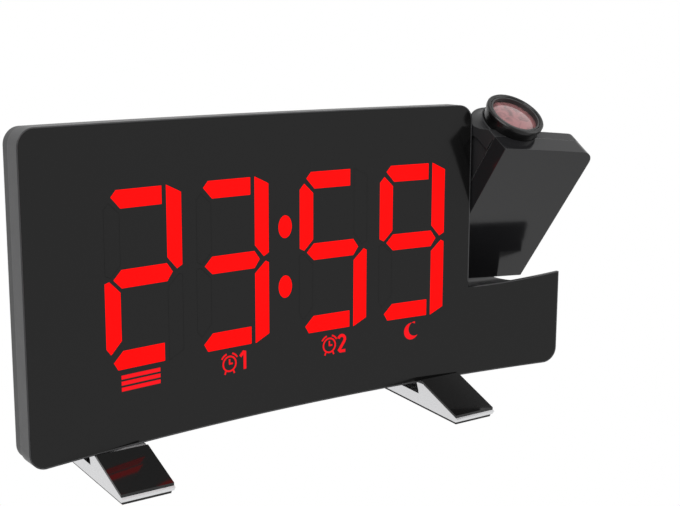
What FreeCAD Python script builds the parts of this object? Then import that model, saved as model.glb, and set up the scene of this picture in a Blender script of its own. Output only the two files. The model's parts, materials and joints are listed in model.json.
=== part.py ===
"""Projection alarm clock: a slim curved body on two wedge feet, with a projector arm that tilts.

The body and the arm are drawn upright, x along the width, y from the front face to the back and
z up from the lower edge of the face. They are then leaned back and stood on the feet.
The origin is on the table, midway across the width and midway between toe and back.
"""
import FreeCAD, Part
import math
import os
from FreeCAD import Placement, Rotation, Vector

# Body
BODY_WIDTH = 190.0
BODY_HEIGHT = 89.0
FACE_RADIUS = 532.0          # the face is hollow, seen from above
FRAME_DEPTH = 6.0
SLAB_DEPTH = 9.8             # frame and cover together, at the ends of the body
CORNER_RADIUS = 5.0
FRAME_WALL = 2.4
COVER_WALL = 2.0
COVER_STEP = 0.35            # the cover stands this much inside the frame
LEAN = 4.3                   # degrees, top leans back
UNDERSIDE_HEIGHT = 8.5       # lower edge of the face above the table

# Cut-out that holds the arm, and the ledge below it
CUTOUT_WIDTH = 36.2
LEDGE_HEIGHT = 29.6
LEDGE_RISE = 2.0
LEDGE_CORNER = 3.0

# Front panel and display
PANEL_THICKNESS = 1.6
PANEL_RIM = 0.4
PANEL_GAP = 0.05
DIGIT_HEIGHT = 49.0
DIGIT_BOTTOM = 22.1
DIGIT_GAP = 4.5
DIGITS_LEFT = 23.95          # from the end of the body to the first digit
DIGITS_RIGHT = 10.15         # from the last digit to the cut-out
SEGMENT_THICKNESS = 5.0
SEGMENT_GAP = 1.5
COLON_SPACE = 10.7           # between the two digits beside the colon
COLON_SHIFT = 0.5            # to the right of the middle of the digits
COLON_WIDTH = 4.7
COLON_DOT_HEIGHT = 6.7
COLON_DOT_PITCH = 18.0
GUIDE_GAP = 0.05             # round each light guide
REFLECTOR_DEPTH = 4.05       # behind the middle of the hollow face
REFLECTOR_MARGIN = 2.0
GUIDE_DEPTH = 1.0            # how far a light guide reaches behind the panel
LAMP_SIZE = 2.0
LAMP_HEIGHT = 0.8
BOARD_THICKNESS = 1.6

# Rear cover
HUMP_INSET = 15.0             # from the left end of the body
HUMP_BOTTOM = 4.0
HUMP_TOP_DROP = 6.5          # below the top of the body
HUMP_DEPTH = 22.45           # behind the middle of the hollow face
HUMP_DRAFT = 5.0             # how far the hump narrows on the way back
HUMP_CORNER = 9.0
BASE_INSET = 6.5
BASE_TOP = 29.0
BASE_STEP = 5.0              # the base ends this much before the hump
BASE_DRAFT = 3.5
BASE_CORNER = 3.5

# Arm
ARM_TILT = 35.3              # degrees forward of closed, as it stands
PIVOT_DEPTH = 12.7           # behind the face beside the cut-out
PIVOT_DROP = 30.1            # below the top of the body
ARM_SIDE_GAP = 0.6
ARM_LEDGE_GAP = 1.15
ARM_SWING_GAP = 0.35
ARM_SLAB_DEPTH = 9.5
ARM_CORNER = 4.0
ARM_DEPTH = 25.2
ARM_SHOULDER_DROP = 3.8      # these lie below the top of the body
ARM_COVER_DEPTH = 6.0
ARM_WALL = 1.8
ARM_BACK_DROP = 13.0
ARM_FALL_DROP = 21.0         # the roof falls to these towards the free end
ARM_FALL_START = 5.0
COLLAR_DROP = 19.0
COLLAR_CAP = 5.2
ARM_HEEL_HEIGHT = 16.4       # of the rounded heel, above the ledge
ARM_REAR_CORNER = 6.0
ARM_POST_RADIUS = 3.5
ARM_BOARD_POST_RADIUS = 1.6
ARM_KEY_BOARD_DEPTH = 9.9    # in front of the arm's back
ARM_SCREW_DEPTH = 6.4
SIDE_POCKET_DEPTH = 0.8
SIDE_POCKET_RIM = 1.5

# Hinge
SHAFT_RADIUS = 5.0
SHAFT_BORE = 3.0
SHAFT_FIT = 0.05
BUSH_WALL = 1.4
BUSH_SEAT = 3.0              # depth of the wall round the bush
BUSH_FLANGE = 1.0
BUSH_FLANGE_RADIUS = 7.8
HINGE_FLANGE_RADIUS = 9.0
HINGE_FLANGE_THICKNESS = 2.0
WASHER_THICKNESS = 0.6
CLIP_THICKNESS = 0.9
CLIP_RADIUS = 7.2
CLIP_MOUTH = 6.0

# Lens and focus ring
LENS_INSET = 11.3            # from the left side of the arm
LENS_FORWARD = 0.6           # of the hinge
RING_RISE = 4.0              # above the top of the arm
RING_RADIUS = 9.85
RING_HEAD = 1.3
RING_LENGTH = 11.0
RING_WALL = 0.75
NECK_RADIUS = 9.25
NECK_FIT = 0.08
SNAP_DEPTH = 0.3
FLARE_RADIUS = 12.6
FLARE_HEIGHT = 3.2
CELL_WALL = 0.55
CELL_LENGTH = 9.0
CELL_RECESS = 0.3
FOCUS_GAP = 0.1
LENS_THICKNESS = 3.4
TUBE_RADIUS = 6.9
TUBE_WALL = 1.1
TUBE_DROP = 10.5             # below the top of the arm
SLIDE_DROP = 23.0
PROJECTOR_BOARD_RISE = 13.4  # above the ledge
CONDENSER_RISE = 8.0         # above the projector board

# Keys and sockets
KEY_WIDTH = 11.0
KEY_HEIGHT = 5.5
KEY_PITCH = 16.0
KEY_COUNT = 5
KEY_ROW_SHIFT = 2.6          # to the right of the middle of the hump
KEY_ROW_DROP = 31.0          # below the top of the body
KEY_PROUD = 1.2
KEY_TRAVEL = 0.8
KEY_GAP = 0.25
KEY_FLANGE = 1.0
SNOOZE_WIDTH = 46.0
SNOOZE_DEPTH = 7.0
SNOOZE_SHIFT = 0.2           # to the right of the middle of the digits
SNOOZE_FORWARD = 7.8         # of the back
SNOOZE_DROP = 1.3            # below the top of the hump
SNOOZE_SWITCH_SHIFT = 15.0
ARM_KEY_RADIUS = 3.4
ARM_KEY_INSET = 24.6         # from the left side of the arm
ARM_KEY_DROP = 29.0          # below the top of the arm
SWITCH_SIZE = 6.0
SWITCH_HEIGHT = 3.5
PLUNGER_RADIUS = 1.6
SPEAKER_RADIUS = 14.0
SPEAKER_DEPTH = 7.0
SPEAKER_INSET = 28.0         # from the left side of the hump
SPEAKER_Z = 33.0
GRILLE_SLOT = 1.6
GRILLE_PITCH = 3.4
GRILLE_SLOTS = 7
CELL_BATTERY_RADIUS = 10.0
CELL_BATTERY_THICKNESS = 3.2
DOOR_WIDTH = 36.0
DOOR_HEIGHT = 27.0
DOOR_THICKNESS = 1.4
DOOR_INSET = 56.8            # these are measured from the cut-out
DOOR_Z = 33.0
DOOR_GAP = 0.2
POWER_INSET = 15.6
USB_INSET = 29.2
SOCKET_Z = 18.0
POWER_RADIUS = 2.9
POWER_PIN = 1.0
USB_WIDTH = 13.0
USB_HEIGHT = 5.6
ANTENNA_SHIFT = 8.0          # to the right of the middle of the speaker
ANTENNA_Z = 15.2
ANTENNA_RADIUS = 2.0

# Feet
FOOT_WIDTH = 15.6
FOOT_LEFT_INSET = 27.4       # from the ends of the body
FOOT_RIGHT_INSET = 47.7
FOOT_TOE = 13.2              # in front of the ends of the face
TOE_HEIGHT = 3.1
PAD_THICKNESS = 0.9
PAD_WIDTH = 14.4
FOOT_ARM_TOP = 4.4
PLATE_THICKNESS = 0.7
NOTCH_Y = 6.2

# Fasteners
SCREW_RADIUS = 1.3
SCREW_HEAD_RADIUS = 2.5
SCREW_HEAD_HEIGHT = 1.6
BOSS_RADIUS = 3.8

SMALL_SCREW_RADIUS = 0.9
SMALL_HEAD_RADIUS = 1.8
SMALL_HEAD_HEIGHT = 1.2
INNER_POST_RADIUS = 2.2
BOARD_STEP = 1.8             # from board to board, and to where frame and cover meet
SCREW_DEPTH = 7.0            # of the seats of the cover's screws
FOOT_SCREW_DEPTH = 3.5       # in front of the back of the base
KEY_NAMES = ("mode_button", "up_button", "down_button", "alarm_button", "radio_button")
CONTACT_THICKNESS = 0.5
PLUNGER_HEIGHT = 0.5
KEY_BOARD_DEPTH = 10.1       # in front of the back
WELL_DEPTH = 7.0
FOOT_REAR = 0.5              # of the foot, behind the base
FOOT_BLOCK = 7.9
MAIN_BOARD_BOTTOM = 10.5
MAIN_BOARD_TOP_DROP = 8.5    # below the row of keys
MAIN_POST_RISE = 4.0
MAIN_POST_DROP = 3.5
DOOR_POST_X = 13.0
DOOR_POST_Z = -8.5
DOOR_POST_RADIUS = 2.3
SNOOZE_FLANGE_DROP = 6.7     # upper side of the snooze button's flange, below the hump's top
SOCKET_RIM = 1.2
THREAD_GAP = 0.03
SEAT_GAP = 0.05

# Worked out from the sizes above
HALF_WIDTH = BODY_WIDTH / 2
CENTRE_Y = -math.sqrt(FACE_RADIUS ** 2 - HALF_WIDTH ** 2)    # axis that the face turns about
CUT_X = HALF_WIDTH - CUTOUT_WIDTH
ARM_LEFT = CUT_X + ARM_SIDE_GAP
FACE_DIP = round(CENTRE_Y + FACE_RADIUS, 2)                  # depth of the hollow at its middle
SIDE_DIP = round(CENTRE_Y + math.sqrt(FACE_RADIUS ** 2 - CUT_X ** 2), 1)
DIGITS_SPAN = HALF_WIDTH - DIGITS_LEFT + CUT_X - DIGITS_RIGHT
DIGIT_WIDTH = (DIGITS_SPAN - COLON_SPACE - 2 * DIGIT_GAP) / 4
DIGIT_PITCH = DIGIT_WIDTH + DIGIT_GAP
DIGITS_X = -HALF_WIDTH + DIGITS_LEFT + DIGITS_SPAN / 2         # middle of the four digits
COLON_X = DIGITS_X + COLON_SHIFT
REFLECTOR_BACK = FACE_DIP + REFLECTOR_DEPTH
MAIN_BOARD_Y = REFLECTOR_BACK + BOARD_THICKNESS + BOARD_STEP
POST_MEET = MAIN_BOARD_Y + BOARD_STEP
HUMP_LEFT = -HALF_WIDTH + HUMP_INSET
HUMP_TOP = BODY_HEIGHT - HUMP_TOP_DROP
HUMP_BACK = FACE_DIP + HUMP_DEPTH
BASE_BACK = HUMP_BACK - BASE_STEP
SCREW_SEAT = HUMP_BACK - SCREW_DEPTH
WELL_FLOOR = HUMP_BACK - WELL_DEPTH
KEY_BOARD_Y = HUMP_BACK - KEY_BOARD_DEPTH
KEY_ROW_X = (HUMP_LEFT + CUT_X) / 2 + KEY_ROW_SHIFT
KEY_ROW_Z = BODY_HEIGHT - KEY_ROW_DROP
MAIN_BOARD_TOP = KEY_ROW_Z - MAIN_BOARD_TOP_DROP
SNOOZE_X = DIGITS_X + SNOOZE_SHIFT
SNOOZE_Y = HUMP_BACK - SNOOZE_FORWARD
SNOOZE_TOP = HUMP_TOP - SNOOZE_DROP
SNOOZE_FLANGE_Z = HUMP_TOP - SNOOZE_FLANGE_DROP
SNOOZE_SWITCH_X = SNOOZE_X + SNOOZE_SWITCH_SHIFT
SPEAKER_X = HUMP_LEFT + SPEAKER_INSET
ANTENNA_X = SPEAKER_X + ANTENNA_SHIFT
DOOR_X = CUT_X - DOOR_INSET
POWER_X = CUT_X - POWER_INSET
USB_X = CUT_X - USB_INSET
PIVOT_Y = SIDE_DIP + PIVOT_DEPTH
PIVOT_Z = BODY_HEIGHT - PIVOT_DROP
ARM_SHOULDER = BODY_HEIGHT - ARM_SHOULDER_DROP
ARM_BACK_TOP = BODY_HEIGHT - ARM_BACK_DROP
ARM_BACK_BOTTOM = LEDGE_HEIGHT + ARM_HEEL_HEIGHT
ARM_FALL_LOW = BODY_HEIGHT - ARM_FALL_DROP
ARM_FALL_TOP = BODY_HEIGHT - ARM_FALL_START
ARM_BACK = round(SIDE_DIP + ARM_DEPTH - 0.1, 1)
ARM_POST_MEET = PIVOT_Y - 0.2
ARM_SCREW_SEAT = ARM_BACK - ARM_SCREW_DEPTH
ARM_KEY_BOARD_Y = ARM_BACK - ARM_KEY_BOARD_DEPTH
ARM_KEY_X = ARM_LEFT + ARM_KEY_INSET
ARM_KEY_Z = BODY_HEIGHT - ARM_KEY_DROP
COLLAR_LOW = BODY_HEIGHT - COLLAR_DROP
LENS_X = ARM_LEFT + LENS_INSET
LENS_Y = PIVOT_Y - LENS_FORWARD
RING_TOP = BODY_HEIGHT + RING_RISE
TUBE_TOP = BODY_HEIGHT - TUBE_DROP
SLIDE_Z = BODY_HEIGHT - SLIDE_DROP
PROJECTOR_BOARD_Z = LEDGE_HEIGHT + PROJECTOR_BOARD_RISE
CONDENSER_Z = PROJECTOR_BOARD_Z + CONDENSER_RISE
FOOT_LEFT_X = -HALF_WIDTH + FOOT_LEFT_INSET
FOOT_RIGHT_X = HALF_WIDTH - FOOT_RIGHT_INSET
FOOT_SCREW_Y = BASE_BACK - FOOT_SCREW_DEPTH
FOOT_SCREW_ROOM = UNDERSIDE_HEIGHT - FOOT_SCREW_Y * math.tan(math.radians(LEAN)) - PAD_THICKNESS
FOOT_SCREW_SEAT = round(FOOT_SCREW_ROOM - SCREW_HEAD_HEIGHT - 0.3, 1)    # below the underside
FOOT_BACK = BASE_BACK + FOOT_REAR
FOOT_BLOCK_Y = FOOT_BACK - FOOT_BLOCK
FAR = 400.0


def face_y(x):
    """Depth of the hollow face at x, measured from its two ends."""
    return CENTRE_Y + math.sqrt(FACE_RADIUS ** 2 - x ** 2)


def polygon(points):
    """Planar face through a closed list of points."""
    return Part.Face(Part.makePolygon([Vector(*p) for p in points] + [Vector(*points[0])]))


def box(x0, x1, y0, y1, z0, z1):
    """Block between two corners."""
    return Part.makeBox(x1 - x0, y1 - y0, z1 - z0, Vector(x0, y0, z0))


def rod(radius, length, start, direction):
    """Round bar from a start point."""
    return Part.makeCylinder(radius, length, Vector(*start), Vector(*direction))


def tube(outer, inner, length, start, direction):
    """Round tube from a start point."""
    return rod(outer, length, start, direction).cut(rod(inner, length, start, direction))


def turned(points):
    """Solid of revolution about the upright axis of the face.

    The points are depth behind the face and height."""
    face = polygon([(0, CENTRE_Y + FACE_RADIUS + depth, z) for depth, z in points])
    span = 2 * math.degrees(math.asin(HALF_WIDTH / FACE_RADIUS)) + 4
    face.rotate(Vector(0, CENTRE_Y, 0), Vector(0, 0, 1), -span / 2)
    return face.revolve(Vector(0, CENTRE_Y, 0), Vector(0, 0, 1), span)


def band(front, back):
    """Curved layer between two depths behind the face."""
    return turned([(front, -5), (back, -5), (back, BODY_HEIGHT + 20), (front, BODY_HEIGHT + 20)])


def loop(parts):
    """Wire of lines and arcs. A point is two numbers, an arc adds its middle point."""
    edges = []
    here = parts[-1][-2:]
    for part in parts:
        start = Vector(here[0], 0, here[1])
        end = Vector(part[-2], 0, part[-1])
        if len(part) == 4:
            edges.append(Part.Arc(start, Vector(part[0], 0, part[1]), end).toShape())
        elif start.distanceToPoint(end) > 1e-6:
            edges.append(Part.makeLine(start, end))
        here = part[-2:]
    return Part.Wire(edges)


def corner(x, z, radius, sx, sz):
    """Middle of a corner arc, where sx and sz point from its centre to the corner."""
    lean = radius * math.sqrt(0.5)
    return (x - sx * (radius - lean), z - sz * (radius - lean))


def face_outline(inset=0.0):
    """Outline of the body seen from the front, an upright plate with a corner cut away."""
    left = -HALF_WIDTH + inset
    right = HALF_WIDTH - inset
    cut = CUT_X - inset
    low = inset
    high = BODY_HEIGHT - inset
    r = max(CORNER_RADIUS - inset, 0.3)
    inner = LEDGE_CORNER + inset
    start = cut + inner
    middle = (start + right) / 2
    step = LEDGE_HEIGHT - inset
    rise = LEDGE_RISE
    return loop([
        (right - r, low),
        corner(right, low, r, 1, -1) + (right, low + r),
        (right, step + rise),
        (middle, step + rise / 4) + (start, step),
        corner(cut, step, inner, -1, -1) + (cut, step + inner),
        (cut, high - r),
        corner(cut, high, r, 1, 1) + (cut - r, high),
        (left + r, high),
        corner(left, high, r, -1, 1) + (left, high - r),
        (left, low + r),
        corner(left, low, r, -1, -1) + (left + r, low),
    ])


def through(wire, y0=-20.0, y1=80.0):
    """Solid that carries an upright outline from front to back."""
    face = Part.Face(wire)
    face.translate(Vector(0, y0, 0))
    return face.extrude(Vector(0, y1 - y0, 0))


def layer(inset, front, back):
    """Part of the curved body between two depths, within an inset outline."""
    return through(face_outline(inset)).common(band(front, back))


def rounded(x0, x1, z0, z1, radii, y):
    """Rounded rectangle at a depth; radii start at the lower right corner and go round."""
    a, b, c, d = radii
    wire = loop([
        (x1 - a, z0),
        corner(x1, z0, a, 1, -1) + (x1, z0 + a),
        (x1, z1 - b),
        corner(x1, z1, b, 1, 1) + (x1 - b, z1),
        (x0 + c, z1),
        corner(x0, z1, c, -1, 1) + (x0, z1 - c),
        (x0, z0 + d),
        corner(x0, z0, d, -1, -1) + (x0 + d, z0),
    ])
    wire.translate(Vector(0, y, 0))
    return wire


def between(value, y0, y1, y):
    """Draft at a depth: none at y0 and the whole value at y1."""
    return value * (y - y0) / (y1 - y0)


def hump(inset=0.0):
    """Raised back of the body, straight on the side of the arm and drafted on the others."""
    sections = []
    start = SLAB_DEPTH / 2
    for y in (start, HUMP_BACK - inset):
        draft = between(HUMP_DRAFT, start, HUMP_BACK, y) + inset
        r = HUMP_CORNER - inset
        small = max(CORNER_RADIUS - inset, 0.5)
        sections.append(rounded(HUMP_LEFT + draft, CUT_X - inset, HUMP_BOTTOM + draft,
                                HUMP_TOP - draft, (small, small, r, r), y))
    return Part.makeLoft(sections, True, True)


def base(inset=0.0):
    """Low part of the back, as wide as the body, with a level underside."""
    sections = []
    start = SLAB_DEPTH / 2
    for y in (start, BASE_BACK - inset):
        draft = between(BASE_DRAFT, start, BASE_BACK, y) + inset
        side = HALF_WIDTH - BASE_INSET - draft
        r = max(BASE_CORNER - inset, 0.5)
        low = max(1.0 - inset, 0.3)
        sections.append(rounded(-side, side, inset, BASE_TOP - inset, (low, r, r, low), y))
    return Part.makeLoft(sections, True, True)


def swing(extra=0.0):
    """Round space that the lower end of the arm sweeps, along the width of the cut-out."""
    reach = 0.0
    for x, rise in ((ARM_LEFT, 0.0), (HALF_WIDTH, LEDGE_RISE)):
        low = PIVOT_Z - LEDGE_HEIGHT - rise - ARM_LEDGE_GAP
        reach = max(reach, math.hypot(PIVOT_Y - face_y(x), low))
    radius = reach + ARM_SWING_GAP + extra
    return rod(radius, FAR, (CUT_X - extra, PIVOT_Y, PIVOT_Z), (1, 0, 0))


# Display: seven-segment digits whose light guides stand in windows of the front panel

def segment_outlines(width, height):
    """Outlines of the seven segments of a digit, from its lower left corner."""
    t = SEGMENT_THICKNESS
    inner = width - t + 0.2
    end = inner - SEGMENT_GAP
    middle = height / 2 + 0.4
    top = height
    back = middle + t / 2
    return {
        "a": [(2.8, top - 1.8), (4.4, top), (end, top), (end, top - t), (t + 0.7, top - t)],
        "b": [(inner, top + 0.1), (width, top - 2.2), (width, middle + 1.6),
              (width - 1.7, middle + 0.7), (inner, middle + 4.2)],
        "c": [(width - 1.1, middle - 0.8), (width, middle - 1.3), (width, 2.2),
              (inner, -0.1), (inner, middle - 4.1)],
        "d": [(2.4, 2.2), (t + 0.4, t + 0.1), (end, t + 0.1), (end, 0), (3.7, 0)],
        "e": [(1.6, middle - 0.3), (t, middle - 3.6), (t, 8.0), (1.6, 4.6), (0.2, 6.4),
              (0.2, middle - 0.7)],
        "f": [(2.0, top - 3.3), (t + 0.2, top - 6.3), (t + 0.2, middle + 3.8),
              (2.0, middle + 0.7), (0.4, middle + 1.5), (0.4, top - 5.0)],
        "g": [(3.0, middle), (t + 0.5, back), (inner - 0.2, back), (width - 3.2, middle),
              (inner - 0.2, back - t), (t + 0.5, back - t)],
    }


DIGIT_PLACES = {
    "hour_tens": (DIGITS_X - COLON_SPACE / 2 - DIGIT_PITCH - DIGIT_WIDTH, "abged"),
    "hour_ones": (DIGITS_X - COLON_SPACE / 2 - DIGIT_WIDTH, "abgcd"),
    "minute_tens": (DIGITS_X + COLON_SPACE / 2, "afgcd"),
    "minute_ones": (DIGITS_X + COLON_SPACE / 2 + DIGIT_PITCH, "abfgcd"),
}


def segment_prism(points, x, gap):
    """Bar that carries a segment's outline from front to back, with a gap round it."""
    wire = Part.makePolygon([Vector(x + px, 0, DIGIT_BOTTOM + pz) for px, pz in points]
                            + [Vector(x + points[0][0], 0, DIGIT_BOTTOM + points[0][1])])
    if gap:
        wire = wire.makeOffset2D(gap, 2)
    return through(wire)


def colon_prisms(gap):
    """Two upright oval bars between hours and minutes."""
    middle = DIGIT_BOTTOM + DIGIT_HEIGHT / 2
    prisms = []
    for z in (middle - COLON_DOT_PITCH / 2, middle + COLON_DOT_PITCH / 2):
        oval = Part.Ellipse(Vector(COLON_X, 0, z + COLON_DOT_HEIGHT / 2 + gap),
                            Vector(COLON_X + COLON_WIDTH / 2 + gap, 0, z), Vector(COLON_X, 0, z))
        prisms.append(through(Part.Wire(oval.toShape())))
    return prisms


def digit_prisms(name, gap, lit):
    """Bars of the lit, or of the unlit, segments of one digit."""
    x, on = DIGIT_PLACES[name]
    outlines = segment_outlines(DIGIT_WIDTH, DIGIT_HEIGHT)
    return [segment_prism(points, x, gap) for key, points in outlines.items() if (key in on) == lit]


def all_windows(gap):
    """Every bar of the display, for cutting windows and wells."""
    prisms = colon_prisms(gap)
    for name in DIGIT_PLACES:
        prisms += digit_prisms(name, gap, True) + digit_prisms(name, gap, False)
    return Part.makeCompound(prisms)


def light_guides(prisms):
    """Segments as they stand, flush with the face and reaching back into their wells."""
    depth = band(0, PANEL_THICKNESS + GUIDE_DEPTH)
    return Part.makeCompound([prism.common(depth) for prism in prisms])


def display_span():
    """Left, right, lower and upper limits of the digits."""
    left = DIGIT_PLACES["hour_tens"][0]
    right = DIGIT_PLACES["minute_ones"][0] + DIGIT_WIDTH
    return left, right, DIGIT_BOTTOM, DIGIT_BOTTOM + DIGIT_HEIGHT


def post_places():
    """Places of the three screws that join the cover to the front frame."""
    middle = (DIGITS_X, BODY_HEIGHT - 19.5)
    low = HUMP_BOTTOM + HUMP_DRAFT + COVER_WALL + BOSS_RADIUS
    left = (HUMP_LEFT + 2 * HUMP_DRAFT + BOSS_RADIUS, low)
    right = (CUT_X - COVER_WALL - BOSS_RADIUS - 1.0, low)
    return [middle, left, right]


def frame_bosses(gap=0.0):
    """Posts behind the face, each on a tongue that reaches in from the rim."""
    r = BOSS_RADIUS + gap
    solids = []
    for x, z in post_places():
        solids.append(rod(r, POST_MEET - 8, (x, 8, z), (0, 1, 0)).cut(band(-30, PANEL_THICKNESS + 0.4)))
        edge = BODY_HEIGHT - FRAME_WALL / 2 if z > BODY_HEIGHT / 2 else FRAME_WALL / 2
        tongue = box(x - r, x + r, -5, 30, min(z, edge), max(z, edge))
        solids.append(tongue.common(band(PANEL_THICKNESS + 0.4, FRAME_DEPTH - 0.4)))
    result = solids[0]
    for solid in solids[1:]:
        result = result.fuse(solid)
    return result


def front_frame():
    """Bezel that carries the panel, with a rim in front and screw posts behind."""
    body = layer(0, 0, FRAME_DEPTH)
    pocket = layer(PANEL_RIM, -1, PANEL_THICKNESS)
    opening = layer(FRAME_WALL, PANEL_THICKNESS - 0.2, FRAME_DEPTH + 1)
    frame = body.cut(pocket).cut(opening.cut(swing(COVER_WALL)))
    frame = frame.fuse(frame_bosses())
    for x, z in post_places():
        frame = frame.cut(rod(SCREW_RADIUS, 6, (x, POST_MEET - 5.5, z), (0, 1, 0)))
    return frame.cut(swing())


def front_panel():
    """Smoked face with a window for each segment."""
    panel = layer(PANEL_RIM + PANEL_GAP, 0, PANEL_THICKNESS)
    return panel.cut(all_windows(GUIDE_GAP)).cut(swing())


def display_block(gap, y1):
    """Space of the display, with a notch round the middle post."""
    x0, x1, z0, z1 = display_span()
    m = REFLECTOR_MARGIN
    return box(x0 - m, x1 + m, 0, y1, z0 - m, z1 + m).cut(frame_bosses(gap))


def display_reflector():
    """Block with a well behind each segment, curved in front and flat behind."""
    block = display_block(0.3, REFLECTOR_BACK)
    block = block.common(band(PANEL_THICKNESS + PANEL_GAP, SLAB_DEPTH * 2))
    block = block.cut(all_windows(GUIDE_GAP))
    for z in display_screws():
        block = block.cut(rod(SMALL_SCREW_RADIUS, 3.5, (COLON_X, REFLECTOR_BACK - 1.8, z), (0, 1, 0)))
    return block


def display_screws():
    """Heights of the screws that hold the display board."""
    middle = DIGIT_BOTTOM + DIGIT_HEIGHT / 2
    return [middle, middle - COLON_DOT_PITCH]


def display_board():
    """Board behind the reflector, with a lamp in the middle of each well."""
    back = REFLECTOR_BACK + BOARD_THICKNESS
    board = display_block(0.3, back).cut(box(-FAR, FAR, -1, REFLECTOR_BACK, -1, FAR))
    lamps = []
    for x, on in DIGIT_PLACES.values():
        for points in segment_outlines(DIGIT_WIDTH, DIGIT_HEIGHT).values():
            px = x + sum(p[0] for p in points) / len(points)
            pz = DIGIT_BOTTOM + sum(p[1] for p in points) / len(points)
            lamps.append((px, pz))
    half = LAMP_SIZE / 2
    for px, pz in lamps:
        board = board.fuse(box(px - half, px + half, REFLECTOR_BACK - LAMP_HEIGHT, REFLECTOR_BACK + 0.1,
                               pz - half, pz + half))
    for z in display_screws():
        board = board.cut(rod(SMALL_SCREW_RADIUS + 0.1, 5, (COLON_X, REFLECTOR_BACK - 1, z), (0, 1, 0)))
    return board


# Rear cover and what it holds

def key_places():
    """Middle of each key of the row."""
    first = KEY_ROW_X - KEY_PITCH * (KEY_COUNT - 1) / 2
    return [first + KEY_PITCH * i for i in range(KEY_COUNT)]


def key_bar(x, gap, y0, y1):
    """Rounded bar with the outline of one key of the row."""
    w = KEY_WIDTH / 2 + gap
    h = KEY_HEIGHT / 2 + gap
    wire = rounded(x - w, x + w, KEY_ROW_Z - h, KEY_ROW_Z + h, (h * 0.8,) * 4, 0)
    return through(wire, y0, y1)


def door_outline(gap):
    """Outline of the battery door."""
    w = DOOR_WIDTH / 2 + gap
    h = DOOR_HEIGHT / 2 + gap
    return rounded(DOOR_X - w, DOOR_X + w, DOOR_Z - h, DOOR_Z + h, (3.0 + gap,) * 4, 0)


def key_board_posts():
    """Places of the posts that carry the key board."""
    first = key_places()[0] - 10.5
    last = key_places()[-1] + 10.5
    return [(first, KEY_ROW_Z), (last, KEY_ROW_Z)]


def main_board_posts():
    """Places of the posts that carry the main board."""
    low = MAIN_BOARD_BOTTOM + MAIN_POST_RISE
    high = MAIN_BOARD_TOP - MAIN_POST_DROP
    left = SPEAKER_X + 24.0
    return [(left, low), (DOOR_X + 10.0, low), (left, high), (USB_X + 3.4, high)]


def inner_posts():
    """Posts on the inside of the cover's back, in front of their screws."""
    posts = []
    for x, z in key_board_posts():
        posts.append((x, KEY_BOARD_Y + BOARD_THICKNESS, z))
    for x, z in main_board_posts():
        posts.append((x, MAIN_BOARD_Y + BOARD_THICKNESS, z))
    return posts


def foot_screw_z():
    """Length of the hole for a foot's screw in the cover."""
    return 7.0


def cover_room():
    """Space inside the cover, around its posts and pockets."""
    trim = band(FRAME_DEPTH - 1, 2 * BODY_WIDTH)
    room = layer(FRAME_WALL, FRAME_DEPTH - 1, SLAB_DEPTH - COVER_WALL)
    room = room.fuse(hump(COVER_WALL).common(trim)).fuse(base(COVER_WALL).common(trim))
    room = room.cut(swing(COVER_WALL))
    for x, z in post_places():
        room = room.cut(rod(BOSS_RADIUS, HUMP_BACK - POST_MEET, (x, POST_MEET, z), (0, 1, 0)))
    for x in (FOOT_LEFT_X, FOOT_RIGHT_X):
        room = room.cut(rod(BOSS_RADIUS, 9, (x, FOOT_SCREW_Y, -1), (0, 0, 1)))
    for x, y, z in inner_posts():
        room = room.cut(rod(INNER_POST_RADIUS, HUMP_BACK - y, (x, y, z), (0, 1, 0)))
    room = room.cut(rod(BUSH_FLANGE_RADIUS + 0.6, BUSH_SEAT, (CUT_X - BUSH_SEAT, PIVOT_Y, PIVOT_Z), (1, 0, 0)))
    room = room.cut(through(door_outline(0), WELL_FLOOR - COVER_WALL, HUMP_BACK))
    return room.cut(tube(SPEAKER_RADIUS + 1.4, SPEAKER_RADIUS + 0.2, SPEAKER_DEPTH,
                         (SPEAKER_X, HUMP_BACK - COVER_WALL - SPEAKER_DEPTH, SPEAKER_Z), (0, 1, 0)))


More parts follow.
